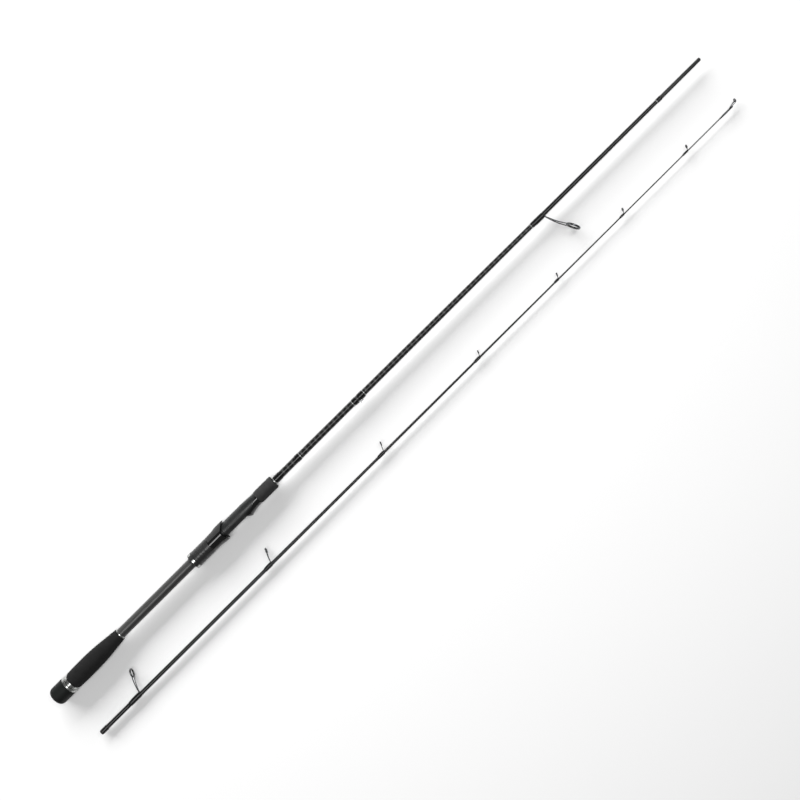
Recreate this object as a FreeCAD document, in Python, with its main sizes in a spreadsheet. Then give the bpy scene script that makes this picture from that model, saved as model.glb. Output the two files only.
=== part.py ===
import FreeCAD, Part
import math
import os
import Sketcher

# Two-piece spinning rod, taken apart, its two sections lying side by side.
# Frame: +X runs from the butt to the tips, +Z is up, the sections lie on z = 0, and the origin is
# under the middle of the object. The guides of the butt section point to -Y and those of the tip
# section to +Y. Every piece is drawn along its own section's axis, x = 0 at that section's rear
# end, and its Placement then puts it in the frame. Millimetres.

DOC = FreeCAD.newDocument("spinning_rod")
SHEET = DOC.addObject("Spreadsheet::Sheet", "Sizes")

SIZES = [
    # whole object
    ("butt_length", 1339.0, "butt section, end to end"),
    ("rod_spacing", 84.0, "between the axes of the two sections"),
    ("tip_setback", 9.0, "tip section starts this far ahead of the butt end"),
    ("tip_blank_length", 1317.0, "tip blank, end to end"),
    ("glue_gap", 0.05, "glue line round anything slid onto a blank or tube"),
    ("slide_gap", 0.12, "running clearance of the hood and the nut"),
    # blanks: radius at the rear end, at the stations and at the front end
    ("blank_inset", 8.0, "butt blank starts this far from the butt end"),
    ("butt_rear_radius", 6.2, ""),
    ("butt_grip_radius", 5.55, "at the front of the foregrip"),
    ("butt_mid_radius", 3.62, "at the middle station"),
    ("butt_mid_run", 349.0, "middle station to the front end"),
    ("butt_front_radius", 2.75, ""),
    ("blank_wall", 0.95, "wall of the butt blank"),
    ("tip_fine_radius", 1.02, "where the fine end of the tip starts"),
    ("tip_fine_run", 282.0, "length of the fine end"),
    ("tip_front_radius", 0.76, ""),
    ("tip_wall", 0.55, "wall of the tip blank ahead of the ferrule"),
    ("tip_core_run", 640.0, "solid front stretch of the tip blank"),
    # ferrule: the butt section's bare front end goes into the tip section's rear end
    ("spigot_length", 80.0, "bare front end of the butt section"),
    ("ferrule_gap", 0.04, "radial gap of the spigot in the tip section"),
    ("ferrule_wall", 0.46, "tip blank over the spigot, at its rear end"),
    ("spigot_wrap_length", 9.0, ""),
    ("ferrule_wrap_length", 12.5, ""),
    ("ferrule_wrap_round", 1.2, "run of the rounded ends of that wrap"),
    ("ferrule_wrap_drop", 0.35, "fall of the rounded ends"),
    ("wrap_height", 0.55, "thread and varnish on the bare blank"),
    ("foot_cover", 0.4, "thread and varnish over a foot"),
    ("band_length", 1.2, "silver thread band"),
    ("band_height", 0.3, ""),
    # butt end and rear grip
    ("cap_length", 27.3, ""),
    ("cap_radius", 14.4, ""),
    ("cap_round", 6.5, "rounded rear edge"),
    ("cap_floor", 5.0, "rubber behind the handle tube"),
    ("ring_length", 8.0, "aluminium ring ahead of the cap"),
    ("ring_radius", 14.3, ""),
    ("ring_flange", 2.8, "length of the wide flange"),
    ("ring_slope", 0.8, "run from the flange down into the groove"),
    ("ring_groove", 1.2, "floor of the groove"),
    ("ring_lip_slope", 0.6, "run from the groove up to the narrow flange"),
    ("ring_neck_radius", 11.0, "bottom of the groove"),
    ("ring_lip_radius", 12.4, "narrow flange next to the grip"),
    ("rear_grip_length", 98.7, ""),
    ("rear_grip_heel", 11.8, "radius of the rear face"),
    ("heel_run", 6.0, "length of the rounded heel"),
    ("heel_radius", 13.85, "where the round of the heel ends"),
    ("heel_curve", 7.2, "curve radius of the heel"),
    ("shoulder_run", 59.7, "rear face to the shoulder"),
    ("shoulder_radius", 13.35, ""),
    ("belly_curve", 560.0, "curve radius between heel and shoulder"),
    ("grip_nose_step", 0.7, "front face of the grip over the trim ring"),
    ("trim_length", 2.4, "bright ring ahead of the rear grip"),
    ("trim_wall", 0.8, ""),
    # bare handle between rear grip and reel seat
    ("split_length", 147.1, "bare tube between the trim ring and the seat"),
    ("bush_length", 12.0, "three bushes between the blank and the tube"),
    ("bush_wall", 0.65, "at the butt"),
    ("handle_tube_wall", 0.8, ""),
    ("tube_socket", 16.0, "tube inside the rear of the seat"),
    # reel seat
    ("barrel_wall", 1.5, "barrel over the handle tube"),
    ("barrel_lead", 1.5, "cone at the rear end"),
    ("barrel_end_wall", 0.5, ""),
    ("flat_wall", 0.3, "barrel's flat over the handle tube"),
    ("bed_rise", 0.3, "foot bed over the barrel's flat"),
    ("bed_step", 1.2, "cone between barrel and bed"),
    ("seat_step", 1.4, "seat over the barrel"),
    ("bore_room", 0.5, "seat's bore over the blank's rear radius"),
    ("arbor_length", 26.0, "two arbors between the blank and the seat"),
    ("arbor_inset", 4.0, "arbors to the ends of the seat's bore"),
    ("short_bay", 24.0, "foot bed left between the closed hoods"),
    ("seat_nose_length", 28.5, "fixed hood, mouth to seat front"),
    ("seat_nose_wall", 2.8, ""),
    ("lip_run", 6.0, "slope of the fixed hood's mouth"),
    ("fixed_hood_rise", 3.1, "lip over the seat"),
    ("lip_fall", 0.4, "edge of the mouth under the lip"),
    ("fixed_hood_fall", 7.5, "lip to where the hood is low"),
    ("fixed_hood_low_rise", 0.9, "low part over the seat"),
    ("nose_run", 7.0, "low part to the nose"),
    ("nose_step", 0.7, ""),
    ("palm_run", 2.0, "hood's edge on the palm side to the seat front"),
    ("pocket_width", 10.8, "across the reel foot"),
    ("pocket_mouth", 3.4, "height of a hood pocket at its mouth"),
    ("pocket_end", 1.6, "height of a hood pocket at its end"),
    ("fixed_pocket_depth", 9.0, "behind the lip"),
    ("liner_thickness", 0.5, "soft liner under a hood's roof"),
    ("liner_width", 9.6, ""),
    ("liner_inset", 0.3, "liner behind the pocket's mouth"),
    ("liner_run", 7.0, ""),
    # sliding hood, at rest with its mouth at the front end of the barrel
    ("hood_length", 27.5, "shoulder to mouth on the foot side"),
    ("hood_palm_run", 8.5, "palm side reaches this far past the mouth"),
    ("hood_back_run", 3.5, "edge between the sides stands this far behind the mouth"),
    ("hood_wall", 1.18, ""),
    ("hood_waist_run", 12.0, "shoulder to waist"),
    ("hood_waist_rise", 0.5, ""),
    ("hood_flare_run", 23.0, "shoulder to full flare"),
    ("hood_flare_rise", 1.9, ""),
    ("hood_lip_height", 2.0, "foot side of the mouth over the bed"),
    ("hood_collar_length", 8.0, "collar that runs on the barrel"),
    ("hood_pocket_depth", 11.0, ""),
    ("hood_travel", 18.0, "from fully open to closed"),
    ("tail_length", 6.0, "snap sleeve inside the nut"),
    ("tail_wall", 1.08, ""),
    ("tail_lip_length", 1.4, ""),
    ("tail_lip_height", 0.4, ""),
    # locking nut
    ("nut_setback", 2.5, "seat rear to the nut's rear face"),
    ("nut_length", 35.88, ""),
    ("nut_wall", 1.18, "nut over the snap sleeve's lip"),
    ("nut_head_step", 0.4, "rear head, which holds the ring, over the nut"),
    ("nut_head_length", 7.2, ""),
    ("nut_edge", 0.5, "chamfer of the rear face"),
    ("nut_groove_start", 3.0, "head to the first grip groove"),
    ("nut_groove_pitch", 5.2, ""),
    ("nut_groove_width", 1.0, ""),
    ("nut_groove_depth", 0.45, ""),
    ("nut_lining", 0.88, "nut inside its ring"),
    ("nut_ring_wall", 1.0, "ring moulded into the nut"),
    ("nut_pad_rise", 0.15, "bright pads over the nut's head"),
    ("nut_pad_root", 0.2, "pads start this far out in the ring"),
    ("nut_pad_length", 4.4, ""),
    ("nut_pad_width", 5.6, ""),
    ("nut_rim", 1.3, "rear face to the ring"),
    # foregrip
    ("foregrip_length", 34.3, ""),
    ("foregrip_step", 0.85, "foregrip over the seat's nose"),
    ("foregrip_round", 1.6, ""),
    ("check_length", 2.2, "winding check"),
    ("check_wall", 2.25, ""),
    ("grip_wrap_length", 11.5, "wrap ahead of the winding check"),
    ("marker_gap", 32.0, "grip wrap to marker wrap"),
    ("marker_length", 8.0, ""),
    # hook keeper
    ("keeper_gap", 109.2, "marker wrap's band to the keeper's first wrap"),
    ("keeper_rear_wrap", 7.5, ""),
    ("keeper_window", 3.5, "open stretch between the keeper's wraps"),
    ("keeper_front_wrap", 10.5, ""),
    ("keeper_width", 2.6, ""),
    ("keeper_thickness", 0.5, ""),
    ("keeper_inset", 1.0, "strip inside its wraps' ends"),
    ("keeper_barrel_radius", 1.4, ""),
    ("keeper_barrel_sink", 0.1, "barrel into the strip"),
    ("keeper_wire_radius", 0.45, ""),
    ("keeper_pin_gap", 0.06, "wire in its barrel"),
    ("keeper_loop_length", 6.0, ""),
    ("keeper_loop_gap", 0.2, "loop's legs to the barrel's ends"),
    # guides
    ("guide_1_gap", 349.0, "keeper's front wrap to the wrap of guide 1"),
    ("foot_reach", 0.8, "foot of a guide ahead of its wrap"),
    ("foot_tip", 0.12, "thickness of a guide's foot at its rear end"),
    ("foot_inset", 2.0, "foot's rear end inside its wrap"),
    ("insert_proud", 0.15, "ceramic ring past its hoop, each side"),
]

# One row per guide, butt to tip: hoop radius, height of the ring's centre over the blank's axis,
# lean towards the tip in degrees, wrap length, wire radius, hoop wall, ring wall, hoop width,
# foot width and foot thickness.
GUIDES = [
    ("guide_1", 11.0, 43.7, 25.5, 24.6, 0.85, 0.80, 1.90, 2.8, 3.4, 0.8),
    ("guide_2", 7.1, 31.2, 23.0, 23.0, 0.70, 0.70, 1.30, 2.2, 2.8, 0.7),
    ("guide_3", 4.4, 19.6, 22.0, 14.8, 0.55, 0.55, 0.95, 1.8, 2.2, 0.6),
    ("guide_4", 3.45, 12.5, 22.0, 13.3, 0.50, 0.50, 0.80, 1.6, 1.9, 0.5),
    ("guide_5", 2.85, 7.2, 22.0, 11.8, 0.42, 0.42, 0.65, 1.4, 1.6, 0.4),
    ("guide_6", 2.75, 6.6, 22.0, 8.6, 0.40, 0.40, 0.60, 1.3, 1.4, 0.4),
    ("guide_7", 2.70, 6.2, 22.0, 9.4, 0.38, 0.40, 0.60, 1.3, 1.2, 0.35),
    ("guide_8", 2.70, 6.0, 22.0, 10.6, 0.36, 0.40, 0.60, 1.3, 1.1, 0.35),
]
GUIDE_COLUMNS = ("hoop_radius", "height", "lean", "wrap_length", "wire_radius", "hoop_wall",
                 "insert_wall", "hoop_width", "foot_width", "foot_thickness")
for row in GUIDES:
    for column, number in zip(GUIDE_COLUMNS, row[1:]):
        SIZES.append((f"{row[0]}_{column}", number, ""))

SIZES += [
    # where the tip section's guides stand: parts of the way from the first guide to the tip-top
    ("guide_2_place", 82.6, "rear end of the tip section to the leg of guide 2"),
    ("gap_2", 274.0, "parts of the span, guide 2 to 3"),
    ("gap_3", 235.0, "guide 3 to 4"),
    ("gap_4", 200.0, "guide 4 to 5"),
    ("gap_5", 164.0, "guide 5 to 6"),
    ("gap_6", 137.0, "guide 6 to 7"),
    ("gap_7", 133.0, "guide 7 to 8"),
    ("gap_8", 101.0, "guide 8 to the tip-top"),
    # tip-top
    ("top_tube_length", 22.0, ""),
    ("top_tube_cover", 2.0, "tube ahead of the blank's end"),
    ("top_tube_wall", 0.52, ""),
    ("top_spine_run", 4.0, "spine's root behind the tube's front"),
    ("top_brace_run", 9.0, "braces' roots behind the tube's front"),
    ("top_ring_reach", 8.2, "tube front to the ring's centre"),
    ("top_hoop_radius", 3.0, ""),
    ("top_height", 3.9, "ring's centre over the axis"),
    ("top_hoop_width", 1.4, ""),
    ("top_hoop_wall", 0.45, ""),
    ("top_insert_wall", 0.7, ""),
    ("top_wire_radius", 0.42, ""),
    ("top_lean", 15.0, "degrees"),
    ("top_wrap_length", 5.0, ""),
    ("top_wrap_drop", 0.25, "wrap under the tube's outside"),
    ("top_wrap_ramp", 1.0, ""),
]

PADS = 6
NUT_GROOVES = 4
MARGIN = 2.0      # how far a cutting tool reaches past what it cuts


# ---------------------------------------------------------------- sizes and expressions
class Size:
    """A length or an angle: its value, and the sheet expression that gives the value."""

    def __init__(self, value, text):
        self.value = float(value)
        self.text = text

    def __add__(self, other):
        other = size(other)
        return Size(self.value + other.value, f"({self.text} + {other.text})")

    def __sub__(self, other):
        other = size(other)
        return Size(self.value - other.value, f"({self.text} - {other.text})")

    def __mul__(self, other):
        other = size(other)
        return Size(self.value * other.value, f"({self.text} * {other.text})")

    def __truediv__(self, other):
        other = size(other)
        return Size(self.value / other.value, f"({self.text} / {other.text})")

    def __neg__(self):
        return Size(-self.value, f"(0 - {self.text})")


def size(value):
    """Turn a plain number into a Size, and leave a Size as it is."""
    if isinstance(value, Size):
        return value
    return Size(value, f"({float(value)!r})")


def sine(angle):
    return Size(math.sin(math.radians(angle.value)), f"sin({angle.text} * 1 deg)")


def cosine(angle):
    return Size(math.cos(math.radians(angle.value)), f"cos({angle.text} * 1 deg)")


def span(across, along):
    """Length of the slope that goes `across` and `along`."""
    return Size(math.hypot(across.value, along.value),
                f"sqrt({across.text} * {across.text} + {along.text} * {along.text})")


def slope(across, along):
    """Angle in degrees of that slope from the `along` direction."""
    return Size(math.degrees(math.atan2(across.value, along.value)),
                f"(atan2({across.text}; {along.text}) / 1 deg)")


def greater(first, second):
    return Size(max(first.value, second.value), f"max({first.text}; {second.text})")


def fill_sheet():
    """Write every driving size into the sheet, and return them by name."""
    named = {}
    for row, (alias, number, note) in enumerate(SIZES, start=1):
        SHEET.set(f"A{row}", alias.replace("_", " "))
        SHEET.set(f"B{row}", str(number))
        SHEET.setAlias(f"B{row}", alias)
        if note:
            SHEET.set(f"C{row}", note)
        named[alias] = Size(number, f"Sizes.{alias}")
    DOC.recompute()
    return named


V = fill_sheet()


def bind(target, path, value):
    target.setExpression(path, size(value).text)


# ---------------------------------------------------------------- modelling helpers
def origin_item(body, role):
    for item in body.Origin.OriginFeatures:
        if item.Role == role:
            return item
    raise LookupError(role)


def arc_between(start, end, radius):
    """Circle arc from start to end that swells to the left of the way; radius > 0."""
    chord = end - start
    middle = (start + end) * 0.5
    across = FreeCAD.Vector(-chord.y, chord.x, 0).normalize()
    drop = math.sqrt(max(radius ** 2 - (chord.Length / 2) ** 2, 0.0))
    centre = middle - across * drop
    circle = Part.Circle(centre, FreeCAD.Vector(0, 0, 1), radius)
    first = math.atan2(end.y - centre.y, end.x - centre.x)
    last = math.atan2(start.y - centre.y, start.x - centre.x)
    return Part.ArcOfCircle(circle, first, last)


def closed_outline(body, corners):
    """Sketch a closed outline on the body's XY plane and tie each corner to the sheet.

    A corner is (x, y), or (x, y, radius) where the edge that leaves it is an arc that swells to
    the left of the way round.
    """
    sketch = body.newObject("Sketcher::SketchObject", "Outline")
    sketch.AttachmentSupport = [(origin_item(body, "XY_Plane"), "")]
    sketch.MapMode = "FlatFace"
    sizes = [tuple(size(number) for number in corner) for corner in corners]
    points = [FreeCAD.Vector(corner[0].value, corner[1].value, 0) for corner in sizes]
    starts = []
    ends = []
    for index, corner in enumerate(sizes):
        start = points[index]
        end = points[(index + 1) % len(points)]
        if len(corner) == 3:
            sketch.addGeometry(arc_between(start, end, corner[2].value), False)
            starts.append((index, 2))
            ends.append((index, 1))
        else:
            sketch.addGeometry(Part.LineSegment(start, end), False)
            starts.append((index, 1))
            ends.append((index, 2))
    for index in range(len(sizes)):
        following = (index + 1) % len(sizes)
        sketch.addConstraint(Sketcher.Constraint("Coincident", *ends[index], *starts[following]))
    for index, corner in enumerate(sizes):
        for kind, axis, number in (("DistanceX", -2, corner[0]), ("DistanceY", -1, corner[1])):
            if number.value == 0:
                sketch.addConstraint(Sketcher.Constraint("PointOnObject", *starts[index], axis))
                continue
            link = Sketcher.Constraint(kind, -1, 1, *starts[index], number.value)
            place = sketch.addConstraint(link)
            sketch.renameConstraint(place, f"{kind[-1].lower()}_{index}")
            bind(sketch, f"Constraints.{kind[-1].lower()}_{index}", number)
        if len(corner) == 3:
            place = sketch.addConstraint(Sketcher.Constraint("Radius", index, corner[2].value))
            sketch.renameConstraint(place, f"curve_{index}")
            bind(sketch, f"Constraints.curve_{index}", corner[2])
    return sketch


def turned(label, corners):
    """A body turned about the X axis from an outline in x and radius."""
    body = DOC.addObject("PartDesign::Body", label)
    body.Label = label
    sketch = closed_outline(body, corners)
    turn = body.newObject("PartDesign::Revolution", "Turn")
    turn.Profile = sketch
    turn.ReferenceAxis = (origin_item(body, "X_Axis"), [""])
    turn.Angle = 360.0
    sketch.Visibility = False
    return body


def prism(label, corners, width):
    """A body of the given width along Z, centred on the axis, from its side outline."""
    body = DOC.addObject("PartDesign::Body", label)
    body.Label = label
    sketch = closed_outline(body, corners)
    pad = body.newObject("PartDesign::Pad", "Thickness")
    pad.Profile = sketch
    pad.Midplane = True
    bind(pad, "Length", width)
    return body


def sleeve(label, start, end, bore, radius):
    """A plain tube about the axis."""
    return turned(label, [(start, bore), (start, radius), (end, radius), (end, bore)])


def rounded(body, radius, pick):
    """Round the edges of a body that `pick` accepts by their centre of mass."""
    DOC.recompute()
    sharp = body.Tip
    names = [f"Edge{number}" for number, edge in enumerate(sharp.Shape.Edges, start=1)
             if pick(edge)]
    fillet = body.newObject("PartDesign::Fillet", "Round")
    fillet.Base = (sharp, names)
    bind(fillet, "Radius", radius)
    return body


def circle_at(place, radius):
    """An edge test: a full circle round the axis at this x and of this radius."""
    def test(edge):
        curve = edge.Curve
        return (isinstance(curve, Part.Circle) and abs(curve.Center.x - place.value) < 1e-4
                and abs(curve.Radius - radius.value) < 1e-4)
    return test


def rod(label, radius, length, centre, turn=(0, 1, 0), angle=90.0):
    """A round bar from `centre`, along X unless it is turned another way."""
    bar = DOC.addObject("Part::Cylinder", label)
    bind(bar, "Radius", radius)
    bind(bar, "Height", length)
    bar.Placement.Rotation = FreeCAD.Rotation(FreeCAD.Vector(*turn), size(angle).value)
    if isinstance(angle, Size):
        bind(bar, "Placement.Rotation.Angle", angle)
    for axis, number in zip("xyz", centre):
        bind(bar, f"Placement.Base.{axis}", number)
    return bar


def block(label, low, high):
    """A box between two corners."""
    box = DOC.addObject("Part::Box", label)
    for side, axis, first, last in zip(("Length", "Width", "Height"), "xyz", low, high):
        bind(box, side, size(last) - size(first))
        bind(box, f"Placement.Base.{axis}", first)
    return box


def cut(label, base, tool):
    piece = DOC.addObject("Part::Cut", label)
    piece.Base = base
    piece.Tool = tool
    return piece


def common(label, base, tool):
    piece = DOC.addObject("Part::Common", label)
    piece.Base = base
    piece.Tool = tool
    return piece


def fuse(label, shapes):
    piece = DOC.addObject("Part::MultiFuse", label)
    piece.Shapes = shapes
    piece.Refine = False
    return piece


def group(label, shapes):
    piece = DOC.addObject("Part::Compound", label)
    piece.Links = shapes
    return piece


NODES = []


def keep(piece, section, x=0.0, y=0.0, turn=None):
    """Put a finished piece at its place on its section, and list it for export."""
    base_x, base_y, base_z = section
    bind(piece, "Placement.Base.x", base_x + x)
    bind(piece, "Placement.Base.y", base_y + y)
    bind(piece, "Placement.Base.z", base_z)
    if turn is not None:
        piece.Placement.Rotation = FreeCAD.Rotation(FreeCAD.Vector(0, 0, 1), turn.value)
        bind(piece, "Placement.Rotation.Angle", turn)
    NODES.append(piece)
    return piece


# ---------------------------------------------------------------- places along the sections
FOOT_SIDE = -1     # the butt section's guides and reel foot face -Y
TIP_SIDE = 1       # the tip section's guides face +Y
WRAP_RAMP = 0.12   # part of a wrap's length that each of its ends takes to rise
WRAP_END = 0.55    # part of its height that a wrap keeps at its front end
EYE_ROUND = 0.6    # depth of a ceramic ring's round inside, in parts of its half width
EYE_CURVE = 1.15   # curve radius of that round, in the same parts
BRACE_ROOT = 0.6   # the tip-top's braces leave its tube this far out, in parts of its radius

RING_AT = V["cap_length"]
GRIP_AT = RING_AT + V["ring_length"]
TRIM_AT = GRIP_AT + V["rear_grip_length"]
SPLIT_AT = TRIM_AT + V["trim_length"]
SEAT_AT = SPLIT_AT + V["split_length"]
NUT_AT = SEAT_AT + V["nut_setback"]
HOOD_AT = NUT_AT + V["nut_length"] + V["slide_gap"]
TAIL_AT = HOOD_AT - V["tail_length"]
BED_AT = HOOD_AT + V["hood_length"]
MOUTH_AT = BED_AT + V["hood_travel"] + V["short_bay"]
SEAT_END = MOUTH_AT + V["seat_nose_length"]
CHECK_AT = SEAT_END + V["foregrip_length"]
GRIP_WRAP_AT = CHECK_AT + V["check_length"]
MARKER_AT = GRIP_WRAP_AT + V["grip_wrap_length"] + V["marker_gap"]
MARKER_BAND_AT = MARKER_AT + V["marker_length"]
KEEPER_AT = MARKER_BAND_AT + V["band_length"] + V["keeper_gap"]
KEEPER_WINDOW_AT = KEEPER_AT + V["keeper_rear_wrap"]
KEEPER_FRONT_AT = KEEPER_WINDOW_AT + V["keeper_window"]
KEEPER_END = KEEPER_FRONT_AT + V["keeper_front_wrap"]
GUIDE_1_WRAP_AT = KEEPER_END + V["guide_1_gap"]
SPIGOT_AT = V["butt_length"] - V["spigot_length"]
TUBE_END = SEAT_AT + V["tube_socket"]
TOP_TUBE_AT = V["tip_blank_length"] + V["top_tube_cover"] - V["top_tube_length"]
TOP_RING_AT = V["tip_blank_length"] + V["top_tube_cover"] + V["top_ring_reach"]


def on_line(place, start, start_radius, end, end_radius):
    """Radius at `place` on the straight taper between two stations."""
    share = (place - start) / (end - start)
    return start_radius + (end_radius - start_radius) * share


def butt_radius(place):
    """Outer radius of the butt blank."""
    middle = V["butt_length"] - V["butt_mid_run"]
    if place.value < CHECK_AT.value:
        return on_line(place, V["blank_inset"], V["butt_rear_radius"],
                       CHECK_AT, V["butt_grip_radius"])
    if place.value < middle.value:
        return on_line(place, CHECK_AT, V["butt_grip_radius"], middle, V["butt_mid_radius"])
    return on_line(place, middle, V["butt_mid_radius"],
                   V["butt_length"], V["butt_front_radius"])


TIP_REAR_RADIUS = butt_radius(SPIGOT_AT) + V["ferrule_gap"] + V["ferrule_wall"]
FERRULE_WRAP_RADIUS = TIP_REAR_RADIUS + V["wrap_height"]


def tip_radius(place):
    """Outer radius of the tip blank."""
    fine = V["tip_blank_length"] - V["tip_fine_run"]
    if place.value < fine.value:
        return on_line(place, size(0), TIP_REAR_RADIUS, fine, V["tip_fine_radius"])
    return on_line(place, fine, V["tip_fine_radius"],
                   V["tip_blank_length"], V["tip_front_radius"])


def tip_back_radius():
    """How far the tip section reaches from its axis on the side away from its guides."""
    wrap_top = (V["guide_2_place"] - V["foot_reach"]
                - V["guide_2_wrap_length"] * WRAP_RAMP)
    over_foot = tip_radius(wrap_top) + V["guide_2_foot_thickness"] + V["foot_cover"]
    return greater(FERRULE_WRAP_RADIUS, over_foot)


# radii of the handle and the seat, each built up from the blank inside it
TUBE_BORE = V["butt_rear_radius"] + V["glue_gap"] * 2 + V["bush_wall"]
TUBE_RADIUS = TUBE_BORE + V["handle_tube_wall"]
ON_TUBE = TUBE_RADIUS + V["glue_gap"]
TRIM_RADIUS = ON_TUBE + V["trim_wall"]
BARREL_RADIUS = ON_TUBE + V["barrel_wall"]
BARREL_FLAT = ON_TUBE + V["flat_wall"]
BED_HEIGHT = BARREL_FLAT + V["bed_rise"]
SEAT_RADIUS = BARREL_RADIUS + V["seat_step"]
SEAT_BORE = V["butt_rear_radius"] + V["bore_room"]
NOSE_RADIUS = SEAT_BORE + V["seat_nose_wall"]
FIXED_HOOD_RADIUS = SEAT_RADIUS + V["fixed_hood_rise"]
HOOD_REAR_RADIUS = SEAT_RADIUS + V["slide_gap"] + V["hood_wall"]
HOOD_FRONT_RADIUS = HOOD_REAR_RADIUS + V["hood_flare_rise"]
TAIL_RADIUS = BARREL_RADIUS + V["slide_gap"] + V["tail_wall"]
TAIL_LIP_RADIUS = TAIL_RADIUS + V["tail_lip_height"]
NUT_RADIUS = TAIL_LIP_RADIUS + V["slide_gap"] + V["nut_wall"]
NUT_HEAD_RADIUS = NUT_RADIUS + V["nut_head_step"]
NUT_RING_INNER = BARREL_RADIUS + V["slide_gap"] + V["nut_lining"]


HALF_WIDTH = (V["cap_radius"] + V["rod_spacing"] + tip_back_radius()) / 2
MID_X = V["butt_length"] / 2
BUTT = (-MID_X, HALF_WIDTH - V["cap_radius"], V["cap_radius"])
TIP = (V["tip_setback"] - MID_X, tip_back_radius() - HALF_WIDTH,
       V["guide_2_hoop_radius"])


# ---------------------------------------------------------------- blanks
def make_blanks():
    middle = V["butt_length"] - V["butt_mid_run"]
    stations = [(V["blank_inset"], V["butt_rear_radius"]), (CHECK_AT, V["butt_grip_radius"]),
                (middle, V["butt_mid_radius"]), (V["butt_length"], V["butt_front_radius"])]
    bore = [(place, radius - V["blank_wall"]) for place, radius in reversed(stations)]
    keep(turned("butt_blank", stations + bore), BUTT)

    fine = V["tip_blank_length"] - V["tip_fine_run"]
    core = V["tip_blank_length"] - V["tip_core_run"]
    depth = V["spigot_length"] + V["tip_wall"]
    mouth = butt_radius(SPIGOT_AT) + V["ferrule_gap"]
    end = V["butt_front_radius"] + V["ferrule_gap"]
    outside = [(0, TIP_REAR_RADIUS), (fine, V["tip_fine_radius"]),
               (V["tip_blank_length"], V["tip_front_radius"]), (V["tip_blank_length"], 0)]
    inside = [(core, 0), (core, tip_radius(core) - V["tip_wall"]),
              (depth, tip_radius(depth) - V["tip_wall"]), (depth, end), (0, mouth)]
    keep(turned("tip_blank", outside + inside), TIP)


# ---------------------------------------------------------------- butt end and rear grip
def make_butt_end():
    cap = turned("butt_cap", [
        (0, 0), (0, V["cap_radius"]), (V["cap_length"], V["cap_radius"]),
        (V["cap_length"], ON_TUBE), (V["cap_floor"], ON_TUBE), (V["cap_floor"], 0)])
    rounded(cap, V["cap_round"], circle_at(size(0), V["cap_radius"]))
    keep(cap, BUTT)

    flange = RING_AT + V["ring_flange"]
    groove = flange + V["ring_slope"]
    groove_end = groove + V["ring_groove"]
    keep(turned("butt_ring", [
        (RING_AT, ON_TUBE), (RING_AT, V["ring_radius"]), (flange, V["ring_radius"]),
        (groove, V["ring_neck_radius"]), (groove_end, V["ring_neck_radius"]),
        (groove_end + V["ring_lip_slope"], V["ring_lip_radius"]),
        (GRIP_AT, V["ring_lip_radius"]), (GRIP_AT, ON_TUBE)]), BUTT)

    keep(turned("rear_grip", [
        (GRIP_AT, ON_TUBE), (GRIP_AT, V["rear_grip_heel"], V["heel_curve"]),
        (GRIP_AT + V["heel_run"], V["heel_radius"], V["belly_curve"]),
        (GRIP_AT + V["shoulder_run"], V["shoulder_radius"]),
        (TRIM_AT, TRIM_RADIUS + V["grip_nose_step"]), (TRIM_AT, ON_TUBE)]), BUTT)

    keep(sleeve("rear_trim_ring", TRIM_AT, SPLIT_AT, ON_TUBE, TRIM_RADIUS), BUTT)


# ---------------------------------------------------------------- handle tube and its bushes
def make_handle():
    keep(sleeve("handle_tube", V["cap_floor"], TUBE_END, TUBE_BORE, TUBE_RADIUS), BUTT)
    bushes = []
    last = TUBE_END - V["bush_length"]
    middle = (V["blank_inset"] + last) / 2
    for number, start in enumerate((V["blank_inset"], middle, last), start=1):
        bushes.append(sleeve(f"bush_{number}", start, start + V["bush_length"],
                             butt_radius(start) + V["glue_gap"], TUBE_BORE - V["glue_gap"]))
    keep(group("handle_bushes", bushes), BUTT)


# ---------------------------------------------------------------- reel seat
def pocket_outline(mouth, end, lead, floor):
    """Side outline of a hood pocket from its mouth to its end, on the foot side."""
    roof = -(BED_HEIGHT + V["pocket_mouth"])
    low_roof = -(BED_HEIGHT + V["pocket_end"])
    return [(lead, -floor), (end, -floor), (end, low_roof), (mouth, roof), (lead, roof)]


def liner_outline(mouth, end, inwards):
    """Side outline of the soft liner under a pocket's roof; `inwards` is 1 towards +X."""
    roof = V["glue_gap"] * 2 - (BED_HEIGHT + V["pocket_mouth"])
    low_roof = V["glue_gap"] * 2 - (BED_HEIGHT + V["pocket_end"])
    start = mouth + V["liner_inset"] * inwards
    stop = start + V["liner_run"] * inwards
    thick = V["liner_thickness"]
    high = on_line(start, mouth, roof, end, low_roof)
    low = on_line(stop, mouth, roof, end, low_roof)
    return [(start, high), (stop, low), (stop, low + thick), (start, high + thick)]


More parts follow.
